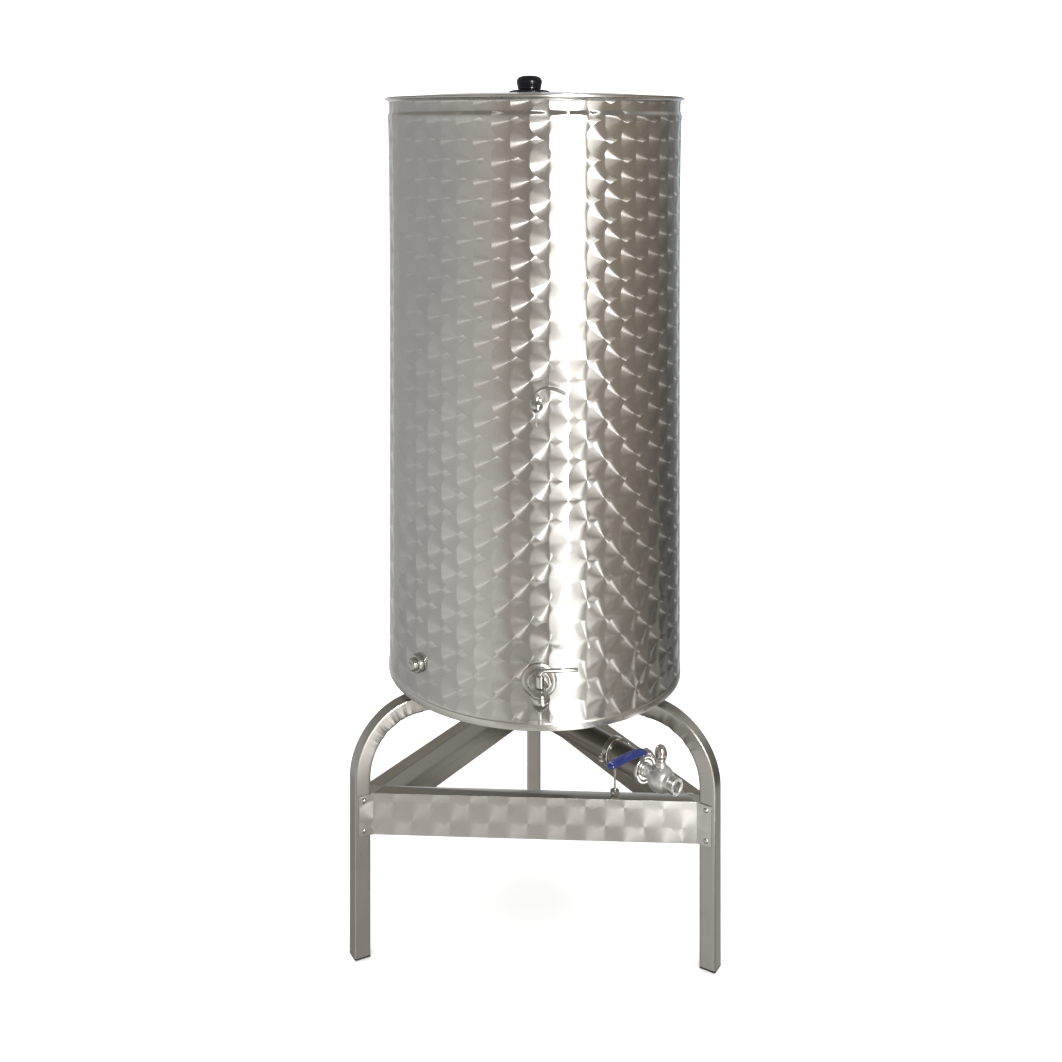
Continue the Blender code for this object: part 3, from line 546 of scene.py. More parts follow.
def spun(profile, edge=0.0, count=4, steps=STEPS_MEDIUM, ring=False):
    """A bmesh turned about Z from radius and height, with its corners rounded. A ring's profile is a closed
    loop. Any other that doesn't start or end on the axis gets a flat end there."""
    points = list(profile)
    if points[0][0] > 0 and not ring:
        points.insert(0, (0.0, points[0][1]))
    if points[-1][0] > 0 and not ring:
        points.append((0.0, points[-1][1]))
    if edge:
        points = soften(points, edge, count, closed=ring)
    bm = bmesh.new()
    rows = [loop(bm, [radius] * (steps if radius > 0 else 1), height) for radius, height in points]
    pairs = list(zip(rows, rows[1:]))
    if ring:
        pairs.append((rows[-1], rows[0]))
    for upper, lower in pairs:
        for step in range(steps):
            following = (step + 1) % steps
            corners = [upper[step % len(upper)], lower[step % len(lower)]]
            corners += [lower[following % len(lower)], upper[following % len(upper)]]
            corners = list(dict.fromkeys(corners))
            if len(corners) > 2:
                bm.faces.new(corners)
    bmesh.ops.recalc_face_normals(bm, faces=bm.faces)
    return bm


def swept(path, side, section):
    """A bmesh of the section carried along a path that stays square to side, with closed ends. The
    section function gives its points at a share of the path, across and away from it."""
    bm = bmesh.new()
    rows = []
    for index, point in enumerate(path):
        ahead = path[min(index + 1, len(path) - 1)]
        behind = path[max(index - 1, 0)]
        away = side.cross((ahead - behind).normalized())
        ring = [point + side * a + away * b for a, b in section(index / (len(path) - 1))]
        rows.append([bm.verts.new(place) for place in ring])
    return skinned(bm, rows)


def threaded(radius, depth, pitch, start, end, inner, steps):
    """A ring about Z with a helical thread outside and a plain inner wall."""
    bm = bmesh.new()
    rows_a_turn = 6
    count = round((end - start) / pitch * rows_a_turn)
    rows = []
    for index in range(count + 1):
        height = start + (end - start) * index / count
        phases = [(height - start) / pitch - step / steps for step in range(steps)]
        rows.append(loop(bm, [radius - depth * abs(2 * (phase % 1) - 1) for phase in phases], height))
    rows += [loop(bm, [inner] * steps, height) for height in (end, start)]
    for low, high in zip(rows, rows[1:] + rows[:1]):
        bridge(bm, low, high)
    bmesh.ops.recalc_face_normals(bm, faces=bm.faces)
    return bm


def hexagon(across_flats, low, high, chamfer=0.0008):
    """A nut or a bolt's head about Z, with turned ends."""
    bm = bmesh.new()
    corner = across_flats / sqrt(3)
    edge = corner - chamfer * 1.7
    rows = []
    for height, limit in ((high, edge), (high - chamfer, corner), (low + chamfer, corner), (low, edge)):
        radii = []
        for step in range(STEPS_SMALL):
            side = (2 * pi * step / STEPS_SMALL + pi / 6) % (pi / 3) - pi / 6
            radii.append(min(across_flats / 2 / cos(side), limit))
        rows.append(loop(bm, radii, height))
    return skinned(bm, rows)


def block(size, edge):
    """A rounded box."""
    bm = bmesh.new()
    bmesh.ops.create_cube(bm, size=1.0, matrix=Matrix.Diagonal((*size, 1.0)))
    bmesh.ops.bevel(bm, geom=bm.edges, offset=edge, segments=3, affect="EDGES", profile=0.5)
    return bm


def joined(*parts):
    """One bmesh from several, each with its own place."""
    whole = bmesh.new()
    for bm, place in parts:
        bm.transform(place)
        mesh = bpy.data.meshes.new("part")
        bm.to_mesh(mesh)
        bm.free()
        whole.from_mesh(mesh)
        bpy.data.meshes.remove(mesh)
    return whole


def direction(angle):
    return Vector((cos(radians(angle)), sin(radians(angle)), 0.0))


def risen(height):
    return Vector((0.0, 0.0, height))


def upright(angle, distance, height, turn=0.0):
    """Local Z points up, and local X in the direction of the turn."""
    place = Matrix.Translation(direction(angle) * distance + risen(height))
    return place @ Matrix.Rotation(radians(turn), 4, "Z")


def outward(angle, height, start):
    """Local Z points out from the tank's axis at this angle."""
    return upright(angle, start, height, angle) @ Matrix.Rotation(pi / 2, 4, "Y")


def linked(name, data):
    """A new object in the scene."""
    obj = bpy.data.objects.new(name, data)
    bpy.context.scene.collection.objects.link(obj)
    return obj


def piece(name, bm, material, body="tank", at=None, nodes=(), sharp=35):
    """Shows the bmesh as a piece that rides on the body and stands for the CAD nodes."""
    mesh = bpy.data.meshes.new(name)
    bm.to_mesh(mesh)
    bm.free()
    mesh.materials.append(material)
    mesh.shade_smooth()
    mesh.set_sharp_from_angle(angle=radians(sharp))
    obj = linked(name, mesh)
    if at is not None:
        obj.matrix_world = at
    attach(obj, body)
    if nodes:
        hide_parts(*nodes)
    return obj


def fitting(name, bm, material, at, node=None, body="tank"):
    """A piece of bright steel. It stands for one CAD node or none."""
    return piece(name, bm, material, body, at, [node] if node else ())


def dress(node, material, edge=0.0):
    """Gives a CAD node its finish, and rounds its edges without touching its mesh."""
    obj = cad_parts[node]
    obj.data.materials.clear()
    obj.data.materials.append(material)
    if edge:
        weld = obj.modifiers.new("Weld", "WELD")
        weld.merge_threshold = 0.00001
        bevel = obj.modifiers.new("Edges", "BEVEL")
        bevel.width = edge
        bevel.segments = 3
        bevel.limit_method = "ANGLE"
        bevel.angle_limit = radians(40)
        bevel.harden_normals = True


def shell_radius(height):
    """The shell widens a little towards a rolled ridge under the lip and is drawn in above it."""
    if height > RIDGE_HEIGHT:
        share = (height - RIDGE_HEIGHT) / (RIDGE_TOP - RIDGE_HEIGHT)
        return TANK_RADIUS + RIDGE_REACH + (NECK_REACH - RIDGE_REACH) * sin(pi / 2 * share) ** 2
    flare = FLARE_REACH * max((height - FLARE_FOOT) / (RIDGE_HEIGHT - FLARE_FOOT), 0) ** 3
    share = max((height - RIDGE_FOOT) / (RIDGE_HEIGHT - RIDGE_FOOT), 0)
    return TANK_RADIUS + flare + (RIDGE_REACH - FLARE_REACH) * sin(pi / 2 * share) ** 2


def shell_profile():
    """The shell's section as a closed loop: down its outer side, then up its inner side."""
    lip = (TANK_RADIUS + NECK_REACH + LIP_REACH, TANK_TOP - SHELL_WALL - LIP_REACH)
    lip_out = arc(lip, LIP_REACH, 90, 180, 10)
    lip_in = arc(lip, LIP_REACH + SHELL_WALL, 90, 180, 10)
    heights = spread(RIDGE_TOP, RIDGE_HEIGHT, 8) + spread(RIDGE_HEIGHT, RIDGE_FOOT, 8)
    heights += [*spread(RIDGE_FOOT, FLARE_FOOT, 18), FLARE_FOOT]
    outer = [(shell_radius(height), height) for height in heights]
    inner = [(radius - SHELL_WALL, height) for radius, height in reversed(outer)]
    seam_top = TANK_BOTTOM + SEAM_HEIGHT
    seam_edge = TANK_RADIUS + SEAM_REACH
    seam = [
        (TANK_RADIUS, seam_top + 0.010),
        (TANK_RADIUS, seam_top + 0.002),
        (seam_edge, seam_top),
        (seam_edge, TANK_BOTTOM),
        (TANK_RADIUS - SHELL_WALL, TANK_BOTTOM),
    ]
    return lip_out + outer + soften(seam, 0.0009) + inner + list(reversed(lip_in))


def build_tank(marbled, rolled, shaded_underside):
    """The lip and the seam are rolled and plain, and the rest of the shell is marbled."""
    skin = spun(shell_profile(), steps=STEPS_TANK, ring=True)
    lip = TANK_TOP - SHELL_WALL - LIP_REACH * 0.6
    seam = TANK_BOTTOM + SEAM_HEIGHT + 0.003
    for face in skin.faces:
        height = face.calc_center_median().z
        face.material_index = int(height > lip or height < seam)
    shell = piece("shell_skin", skin, marbled, nodes=["tank_shell"])
    shell.data.materials.append(rolled)
    # The floor's underside is rougher mill sheet, and its darker colour is painted shade under the tank
    dress("tank_floor", shaded_underside)


def build_lid(sheet, black):
    """A slightly domed lid with a skirt that hangs inside the tank, and its knob on a round base."""
    seat = TANK_TOP + GAP
    top = seat + LID_SHEET
    crown = top + LID_CROWN
    skirt_in = LID_SKIRT_RADIUS - LID_SHEET
    profile = [
        (0.0, crown),
        (skirt_in * 0.35, crown - LID_CROWN * 0.10),
        (skirt_in * 0.70, crown - LID_CROWN * 0.42),
        (LID_SKIRT_RADIUS, top),
        (LID_RADIUS, top),
        (LID_RADIUS, seat),
        (LID_SKIRT_RADIUS, seat),
        (LID_SKIRT_RADIUS, seat - LID_SKIRT_DEPTH),
        (skirt_in, seat - LID_SKIRT_DEPTH),
        (skirt_in, seat),
        (skirt_in * 0.70, crown - LID_CROWN * 0.42 - LID_SHEET),
        (0.0, crown - LID_SHEET),
    ]
    piece("lid_skin", spun(profile, 0.0008, 3, STEPS_TANK), sheet, "lid", nodes=["lid"])
    at = Matrix.Translation((KNOB_SHIFT, 0.0, crown + GAP))
    piece("knob_base_skin", spun(KNOB_BASE, 0.0012), black, "lid", at, ["lid_knob_base"])
    piece("knob_skin", spun(KNOB_HEAD, 0.0045, 5), black, "lid", at, ["lid_knob"])


def leg_path(reach):
    """The tube's middle line from the foot, over the bend, to its end under the tank."""
    centre = (reach + LEG_DEEP / 2 - LEG_BEND, LEG_TOP - LEG_BEND)
    middle = LEG_BEND - LEG_DEEP / 2
    straight = [(reach, height) for height in spread(LEG_FOOT, centre[1], LEG_STRAIGHT_STEPS)]
    end = (centre[0] - LEG_RUN_IN, centre[1] + middle)
    return [*straight, *arc(centre, middle, 0, 90, LEG_BEND_STEPS), end]


def leg_section(share):
    """A square tube with rounded corners. The bend has drawn its outer side in, and its inner side has
    gathered in short wrinkles."""
    rounded = rounded_bar(LEG_ACROSS, LEG_DEEP, LEG_CORNER, 5)
    rounded = [point for pair in zip(rounded, rounded[1:] + rounded[:1]) for point in between(*pair)]
    step = share * (LEG_STRAIGHT_STEPS + LEG_BEND_STEPS + 1)
    bend = min(max((step - LEG_STRAIGHT_STEPS) / LEG_BEND_STEPS, 0.0), 1.0)
    envelope = sin(pi * bend) ** 1.5
    wrinkle = sin(bend * 46.0 + 1.6 * sin(bend * 15.0)) ** 3
    crowd = exp(-((bend - 0.62) / 0.24) ** 2)
    section = []
    for across, away in rounded:
        inner = min(max(0.5 - away / LEG_DEEP, 0.0), 1.0)
        drawn_in = 0.15 * envelope * (1 - inner)
        gathered = 0.110 * (0.5 + wrinkle) * inner ** 1.6 * crowd
        section.append((across * (1 - drawn_in - gathered), away + 0.0008 * envelope * inner))
    return section


def leg_centre(side):
    return direction(LEG_ANGLE[side]) * LEG_REACH[side]


def build_legs(tube, glide):
    for side, angle in LEG_ANGLE.items():
        out = direction(angle)
        path = [out * across + risen(height) for across, height in leg_path(LEG_REACH[side])]
        leg = swept(path, direction(angle + 90.0), leg_section)
        piece(f"leg_{side}_tube", leg, tube, nodes=[f"leg_{side}"], sharp=50)
        dress(f"leg_{side}_end", tube)
        dress(f"foot_{side}", glide)


def rivet():
    """A dome-headed blind rivet with the dimple of its drawn stem."""
    dome = arc((0.0, -0.0038), 0.0062, 72, 38, 8)
    return spun([(0.0009, 0.0013), (0.0013, 0.0021), *dome, (0.0052, 0.0)], steps=STEPS_SMALL // 2)


def build_rails(bright):
    """Each rail has swirls on its outer side, and two rivets through each tab, on the side of its leg."""
    tab_face = LEG_ACROSS / 2 + GAP + RAIL_SHEET
    for rail, ends in RAIL_ENDS.items():
        first, second = (leg_centre(side) for side in ends)
        along = (second - first).normalized()
        outside = Vector((along.y, -along.x, 0.0))
        dress(rail, swirled(f"marbled_{rail}", rail_sheet(along), 0.31, outside, 0.6, RAIL_COLOUR), 0.0010)
        heads = []
        for side, sign in zip(ends, (1, -1)):
            leg = Matrix.Translation(direction(LEG_ANGLE[side]) * (LEG_REACH[side] - RIVET_INWARD))
            for drop in RIVET_DROPS:
                on_tab = outward(LEG_ANGLE[side] + 90.0 * sign, RAIL_TOP - drop, tab_face)
                heads.append((rivet(), leg @ on_tab))
        piece(f"{rail}_rivets", joined(*heads), bright)


def tap_reach():
    """The distance of the main tap's spout from the tank's axis."""
    low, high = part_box("main_tap_spout")
    return ((low + high) / 2).xy.length


def bulb_profile():
    """The main tap's egg-shaped cock, with a flat neck and foot and a fine groove above its middle."""
    middle = (TAP_BULB_TOP + TAP_BULB_BOTTOM) / 2
    half = 0.0185
    points = [(0.0092, TAP_BULB_TOP), (0.0105, TAP_BULB_TOP - 0.0015)]
    for angle in (radians(58 - 122 * step / 28) for step in range(29)):
        groove = 0.0009 * exp(-((angle - 0.42) / 0.05) ** 2)
        points.append((TAP_BULB_RADIUS * cos(angle) ** 0.9 - groove, middle + half * sin(angle)))
    return [*points, (0.0062, TAP_BULB_BOTTOM)]


def build_main_tap(chrome, turned):
    reach = tap_reach()
    rim = TAP_FLANGE_RADIUS
    wall = outward(TAP_ANGLE, TAP_HEIGHT, TANK_RADIUS + GAP)
    flange = [(rim - 0.005, 0.0042), (rim, 0.0024), (rim, 0.0)]
    fitting("main_tap_flange_skin", spun(flange, 0.0012), turned, wall, "main_tap_flange")
    backnut = [(0.0195, 0.0085), (0.0225, 0.0060), (0.0225, 0.0045)]
    fitting("main_tap_backnut_skin", spun(backnut, 0.0012), chrome, wall, "main_tap_backnut")

    start = TANK_RADIUS + TAP_BARREL_START
    length = reach - start
    barrel = [(0.0105, length), (0.0105, 0.013), (0.0150, 0.009), (0.0150, 0.0)]
    at = outward(TAP_ANGLE, TAP_HEIGHT - TAP_BARREL_DROP, start)
    fitting("main_tap_barrel", spun(barrel, 0.0015), chrome, at, "main_tap_socket")

    at = upright(TAP_ANGLE, reach, 0.0)
    fitting("main_tap_bulb", spun(bulb_profile()), chrome, at, "main_tap_body")
    bore = TAP_SPOUT_RADIUS - TAP_SPOUT_WALL
    spout = tube_wall(bore, TAP_SPOUT_RADIUS, TAP_BULB_BOTTOM - GAP, TAP_SPOUT_END)
    fitting("main_tap_spout_skin", spun(spout, 0.0004, 2, 32, True), chrome, at, "main_tap_spout")
    build_tap_lever(chrome, reach)


def build_tap_lever(chrome, reach):
    """A plug on the cock, and a round bar that rises from it and bends over."""
    foot = TAP_BULB_TOP + GAP
    rise = TAP_LEVER_HEIGHT - foot
    bend = TAP_LEVER_BEND
    length = TAP_LEVER_LENGTH
    path = [(0.0, rise * share) for share in (0.0, 0.3, 0.6)] + arc((bend, rise - bend), bend, 180, 90, 10)
    path += [(across, rise) for across in (0.030, length - 0.0015, length)]
    round_bar = circle(TAP_LEVER_RADIUS, 20)

    def section(share):
        """Round, and a little smaller at the very end."""
        size = 0.8 if share > 0.99 else 1.0
        return [(a * size, b * size) for a, b in round_bar(share)]

    bar = swept([Vector((across, 0.0, height)) for across, height in path], Vector((0.0, 1.0, 0.0)), section)
    plug = [(0.0060, 0.0215), (0.0072, 0.0195), (0.0078, 0.0020), (0.0070, 0.0)]
    lever = joined((bar, Matrix()), (spun(plug, 0.0010, steps=40), Matrix()))
    at = upright(TAP_ANGLE, reach, foot, TAP_LEVER_TURN)
    fitting("main_tap_handle", lever, chrome, at, "main_tap_lever", "main_tap_lever")


def build_sample_tap(chrome, turned):
    reach = TANK_RADIUS + SAMPLE_REACH
    rose = [(0.0, 0.0062), (0.0095, 0.0058), (0.0120, 0.0034), (0.0120, GAP)]
    at = outward(SAMPLE_ANGLE, SAMPLE_HEIGHT, TANK_RADIUS)
    fitting("sample_tap_rose", spun(rose, 0.0010), turned, at, "sample_tap_socket")
    length = SAMPLE_REACH - SAMPLE_BARREL_START
    barrel = [(0.0068, length), (0.0068, 0.006), (0.0080, 0.004), (0.0080, 0.0)]
    at = outward(SAMPLE_ANGLE, SAMPLE_HEIGHT, TANK_RADIUS + SAMPLE_BARREL_START)
    fitting("sample_tap_barrel", spun(barrel, 0.0008, steps=40), chrome, at)

    neck = SAMPLE_BALL_RADIUS + 0.004
    foot = -SAMPLE_BALL_RADIUS - 0.0015
    round_side = arc((0.0, 0.0), SAMPLE_BALL_RADIUS, 58, -70, 22)
    ball = [(0.0045, neck), (0.0051, neck - 0.0036), *round_side, (0.0036, foot)]
    at = upright(SAMPLE_ANGLE, reach, SAMPLE_HEIGHT, SAMPLE_ANGLE)
    fitting("sample_tap_ball", spun(ball, steps=STEPS_SMALL), chrome, at, "sample_tap_body")
    bore = SAMPLE_SPOUT_RADIUS - SAMPLE_SPOUT_WALL
    spout = tube_wall(bore, SAMPLE_SPOUT_RADIUS, foot - GAP, -SAMPLE_SPOUT_DROP)
    fitting("sample_tap_pipe", spun(spout, 0.0003, 2, 24, True), chrome, at, "sample_tap_spout")

    lever_foot = SAMPLE_HEIGHT + neck + GAP
    rise = SAMPLE_LEVER_HEIGHT - lever_foot
    path = [Vector((0.0, 0.0, 0.0)), risen(rise * 0.55)]
    for share in (step / 24 for step in range(25)):
        arch = SAMPLE_LEVER_ARCH * sin(pi * share ** 0.8) - SAMPLE_LEVER_DROP * share
        path.append(Vector((SAMPLE_LEVER_LENGTH * (0.04 + 0.96 * share), 0.0, rise + arch)))
    lever = swept(path, Vector((0.0, 1.0, 0.0)), circle(SAMPLE_LEVER_RADIUS, 20))
    at = upright(SAMPLE_ANGLE, reach, lever_foot)
    fitting("sample_tap_handle", lever, chrome, at, "sample_tap_lever", "sample_tap_lever")


def build_side_plug(turned):
    rim = PLUG_BOSS_RADIUS
    reach = PLUG_BOSS_REACH
    boss = [(rim - 0.0015, reach), (rim, reach - 0.0015), (rim, GAP)]
    at = outward(PLUG_ANGLE, PLUG_HEIGHT, TANK_RADIUS)
    fitting("side_outlet_ring", spun(boss, 0.0012), turned, at, "side_outlet_boss")
    cap = [(0.0, 0.0080), (0.0060, 0.0095), (0.0095, 0.0095), (0.0120, 0.0075), (0.0120, 0.0)]
    at = outward(PLUG_ANGLE, PLUG_HEIGHT, TANK_RADIUS + reach + GAP)
    fitting("side_outlet_cap", spun(cap, 0.0014), turned, at, "side_outlet_plug")


def build_drain(tube):
    """The pipe goes down from the floor's weld ring, bends, and runs level to its end cap."""
    top = TANK_BOTTOM - GAP
    out = direction(DRAIN_ANGLE)
    bend = DRAIN_BEND
    path = [risen(top), risen(DRAIN_HEIGHT + bend)]
    for across, height in arc((bend, DRAIN_HEIGHT + bend), bend, 180, 270, 20)[1:]:
        path.append(out * across + risen(height))
    path.append(out * (CAP_AT - GAP) + risen(DRAIN_HEIGHT))
    pipe = swept(path, direction(DRAIN_ANGLE + 90.0), circle(DRAIN_PIPE_RADIUS, STEPS_SMALL))
    # The pipe and its weld ring take the drain steel, darker than the legs' as painted shade under the tank
    piece("drain_tube", pipe, tube, nodes=["drain_pipe"])
    inner = DRAIN_PIPE_RADIUS + GAP
    weld = [(inner, top), (0.036, top), (0.036, top - 0.003), (0.030, top - 0.006), (inner, top - 0.006)]
    piece("drain_weld_ring", spun(weld, 0.0015, 3, ring=True), tube, nodes=["drain_flange"])


def stud(radius, low, high):
    """A length of threaded rod about Z."""
    return threaded(radius, STUD_THREAD, STUD_PITCH, low, high, STUD_HOLLOW, 20)


def build_clamp(chrome):
    """A split clamp round the pipe, bolted through a lug on each side, and the stud that holds it up."""
    half = CLAMP_WIDTH / 2
    band = tube_wall(DRAIN_PIPE_RADIUS + GAP, CLAMP_RADIUS, half, -half)
    parts = [(spun(band, 0.0012, 3, ring=True), Matrix())]
    for sign in (-1, 1):
        for level in (-1, 1):
            lug = Matrix.Translation((level * 0.0012, sign * (CLAMP_RADIUS + 0.005), 0.0))
            parts.append((block((0.0018, 0.0135, 0.0112), 0.0007), lug))
        across = Matrix.Translation((0.0, sign * (CLAMP_RADIUS + 0.0065), 0.0))
        bolt = across @ Matrix.Rotation(pi / 2, 4, "Y")
        parts.append((hexagon(BOLT_FLATS, 0.0021, 0.0056), bolt))
        parts.append((hexagon(BOLT_FLATS, -0.0061, -0.0021), bolt))
        parts.append((stud(BOLT_RADIUS, -0.0090, -0.0060), bolt))
    at = outward(DRAIN_ANGLE, DRAIN_HEIGHT, CLAMP_AT)
    fitting("clamp_band", joined(*parts), chrome, at, "pipe_clamp")

    low = RAIL_TOP + GAP
    top = DRAIN_HEIGHT - CLAMP_RADIUS - GAP
    at = upright(DRAIN_ANGLE, CLAMP_AT, 0.0)
    fitting("clamp_stud", stud(STUD_RADIUS, low, top), chrome, at, "support_rod")
    fitting("clamp_stud_nut", hexagon(NUT_FLATS, low, low + NUT_HEIGHT, 0.0012), chrome, at, "support_nut")


def housing_profile(inlet_face):
    """From the bottom of the outlet's bore out over its threaded stub, then the ball to its flat inlet."""
    end = OUTLET_END - VALVE_AT
    first = degrees(acos(OUTLET_RADIUS / VALVE_RADIUS)) - 3
    last = degrees(asin(inlet_face / VALVE_RADIUS))
    return [
        (OUTLET_BORE, end - OUTLET_BORE_DEPTH),
        (OUTLET_BORE, end - 0.0008),
        (OUTLET_BORE + 0.0008, end),
        (OUTLET_ROOT - 0.0007, end),
        (OUTLET_ROOT, end - 0.0008),
        (OUTLET_ROOT, end - 0.0135),
        (OUTLET_RADIUS, end - 0.0145),
        (OUTLET_RADIUS, end - 0.0175),
        *arc((0.0, 0.0), VALVE_RADIUS, first, last, 36),
    ]


def build_valve(chrome, cast):
    """The pipe's end cap, the neck on it, the ball-shaped housing with its stem, and the outlet's thread."""
    cap = [(0.0, 0.0046), (0.0180, CAP_DISH), (0.0205, 0.0060), (0.0250, 0.0060)]
    cap += [(0.0265, 0.0045), (0.0265, 0.0010), (0.0250, 0.0)]
    at = outward(DRAIN_ANGLE, DRAIN_HEIGHT, CAP_AT)
    fitting("pipe_cap", spun(cap, 0.0010, steps=STEPS_LARGE), chrome, at, "valve_collar")

    start = CAP_AT + CAP_DISH + GAP
    neck = [(0.0115, INLET_LENGTH), (0.0115, 0.0060), (0.0125, 0.0050), (0.0135, 0.0)]
    at = outward(DRAIN_ANGLE, DRAIN_HEIGHT, start)
    fitting("inlet_union", spun(neck, 0.0008), cast, at, "valve_inlet")

    ball = spun(housing_profile(start + INLET_LENGTH + GAP - VALVE_AT), steps=STEPS_LARGE)
    top = VALVE_RADIUS + VALVE_NECK_RISE
    stem = [(0.0085, top), (0.0085, 0.0275), (0.0098, 0.0262), (0.0104, 0.0215), (0.0, 0.020)]
    stem = spun(stem, 0.0008, steps=STEPS_SMALL)
    body = joined((ball, Matrix()), (stem, Matrix.Rotation(-pi / 2, 4, "Y")))
    at = outward(DRAIN_ANGLE, DRAIN_HEIGHT, VALVE_AT)
    piece("valve_housing", body, cast, "tank", at, ["valve_body"])
    end = OUTLET_END - VALVE_AT
    thread = threaded(OUTLET_RADIUS, 0.0009, 0.0018, end - 0.0132, end - 0.0012, OUTLET_ROOT - 0.0004, 64)
    fitting("outlet_thread", thread, chrome, at)


def build_valve_lever(chrome, blue):
    """A domed hub on the valve's stem, and a dipped sleeve: a soft flat bar with a rolled mouth and a round
    tip."""
    hub = [(0.0, 0.0290), (0.0040, 0.0287), (0.0078, 0.0262), (0.0103, 0.0205), (0.0115, 0.0135)]
    hub += [(0.0104, 0.0070), (0.0084, 0.0028), (0.0082, 0.0)]
    at = upright(DRAIN_ANGLE, VALVE_AT, DRAIN_HEIGHT + VALVE_RADIUS + VALVE_NECK_RISE + GAP, DRAIN_ANGLE)
    fitting("lever_hub", spun(hub, 0.0022, 6), chrome, at, "valve_lever_hub", "valve_lever")

    pitch = radians(LEVER_PITCH)
    along = direction(LEVER_ANGLE) * cos(pitch) - risen(sin(pitch))
    start = direction(DRAIN_ANGLE) * VALVE_AT + direction(LEVER_ANGLE) * SLEEVE_START + risen(LEVER_HIGH)
    outline = rounded_bar(SLEEVE_WIDTH, SLEEVE_THICKNESS, SLEEVE_THICKNESS * 0.45, 6)
    path = []
    for share in (step / SLEEVE_STEPS for step in range(SLEEVE_STEPS + 1)):
        arch = SLEEVE_ARCH * sin(pi * share ** 0.7)
        path.append(start + along * (SLEEVE_LENGTH * share) + risen(arch))

    def section(share):
        run = share * SLEEVE_LENGTH
        tip = min(max((run - SLEEVE_LENGTH + 0.009) / 0.009, 0.0), 1.0)
        mouth = min(run / 0.0015, 1.0)
        waist = 1 - 0.05 * exp(-((run - 0.006) / 0.002) ** 2)
        size = sqrt(max(1 - tip * tip, 0.015)) * (0.90 + 0.10 * sin(mouth * pi / 2)) * waist
        return [(a * size, b * size) for a, b in outline]

    sleeve = swept(path, direction(LEVER_ANGLE + 90.0), section)
    piece("lever_sleeve", sleeve, blue, "valve_lever", nodes=["valve_lever_sleeve"], sharp=60)


def build_weld(steel):
    """The shell's upright weld, at the back, as a low rippled bead."""
    heights = [WELD_FOOT + WELD_STEP * step for step in range(WELD_STEPS + 1)]
    path = [Vector((0.0, shell_radius(height) - 0.0004, height)) for height in heights]
    angles = [radians(angle) for angle in range(0, 360, 30)]

    def section(share):
        ripple = 0.0002 * (0.5 + 0.5 * sin(share * WELD_STEPS * pi / 2))
        return [((0.0019 + ripple) * cos(a), (0.0008 + ripple) * sin(a)) for a in angles]

    bead = swept(path, Vector((1.0, 0.0, 0.0)), section)
    piece("shell_weld", bead, steel, sharp=60)


def build_camera():
    data = bpy.data.cameras.new("camera")
    camera = linked("camera", data)
    camera.location = CAMERA_PLACE
    camera.rotation_euler = (pi / 2, 0.0, radians(CAMERA_TURN))
    data.sensor_width = 36.0
    data.lens = CAMERA_LENS
    data.shift_x, data.shift_y = CAMERA_SHIFT
    data.clip_end = 100.0
    bpy.context.scene.camera = camera


# What the steel mirrors, as angles from the camera's side, to the right, each with its red, green and blue:
# the walls, the far ground, the ground before the object and the ceiling
WALLS = (
    (-180, 0.75, 0.77, 0.80), (-155, 0.72, 0.73, 0.74), (-138, 0.43, 0.43, 0.42),
    (-76, 0.40, 0.40, 0.387), (-60, 0.43, 0.425, 0.405), (-38, 0.53, 0.50, 0.46),
    (-20, 0.40, 0.34, 0.29), (0, 0.30, 0.26, 0.23), (45, 0.44, 0.38, 0.31),
    (70, 0.34, 0.28, 0.22), (95, 0.24, 0.20, 0.165), (120, 0.15, 0.14, 0.12),
    (140, 0.16, 0.165, 0.16), (152, 0.60, 0.65, 0.70),
)
FAR_GROUND = (
    (-180, 0.78, 0.78, 0.79), (-155, 0.76, 0.76, 0.76), (-138, 0.42, 0.42, 0.41),
    (-90, 0.56, 0.56, 0.54), (-60, 0.73, 0.725, 0.70), (-32, 0.79, 0.78, 0.75),
    (-22, 0.42, 0.39, 0.36), (-5, 0.30, 0.28, 0.26), (45, 0.32, 0.29, 0.25),
    (75, 0.20, 0.175, 0.15), (105, 0.10, 0.088, 0.072), (125, 0.035, 0.035, 0.030),
    (142, 0.05, 0.05, 0.05), (152, 0.50, 0.52, 0.55),
)
NEAR_GROUND = (
    (-110, 0.29, 0.28, 0.26), (-60, 0.50, 0.485, 0.46), (-8, 0.72, 0.705, 0.67),
    (0, 0.77, 0.75, 0.71), (8, 0.44, 0.425, 0.40), (28, 0.34, 0.33, 0.31),
    (60, 0.46, 0.445, 0.42), (88, 0.34, 0.33, 0.31), (106, 0.20, 0.195, 0.18),
    (116, 0.50, 0.485, 0.46), (150, 0.40, 0.39, 0.37), (170, 0.25, 0.24, 0.22),
)
CEILING = (
    (-150, 0.17, 0.152, 0.122), (-120, 0.26, 0.245, 0.215), (0, 0.20, 0.185, 0.16),
    (85, 0.24, 0.23, 0.21), (120, 0.50, 0.49, 0.46), (150, 0.17, 0.152, 0.122),
)
UNDERFOOT = (0.17, 0.155, 0.14)

# Where the near ground begins sooner, by up to a rise of NEAR_SOONER
SOONER = (
    (-60, 1.0, 1.0, 1.0), (-25, 0.0, 0.0, 0.0), (104, 0.0, 0.0, 0.0), (114, 0.8, 0.8, 0.8),
)
NEAR_SOONER = 0.060

# Where each part of the room fades in, as the rise of the mirrored direction: 0 level and 1 straight up
CEILING_FADE = (0.14, 0.34)
FAR_GROUND_FADE = (-0.10, -0.32)
NEAR_GROUND_FADE = (-0.455, -0.485)
UNDERFOOT_FADE = (-0.64, -0.72)
BACKDROP_STRENGTH = 1.85


def round_room(graph, turn, stops):
    """A colour ramp right round the room."""
    share = graph.math("MULTIPLY_ADD", turn, 1 / (2 * pi), 0.5)
    return graph.ramp(share, *((angle / 360 + 0.5, colour) for angle, *colour in stops))


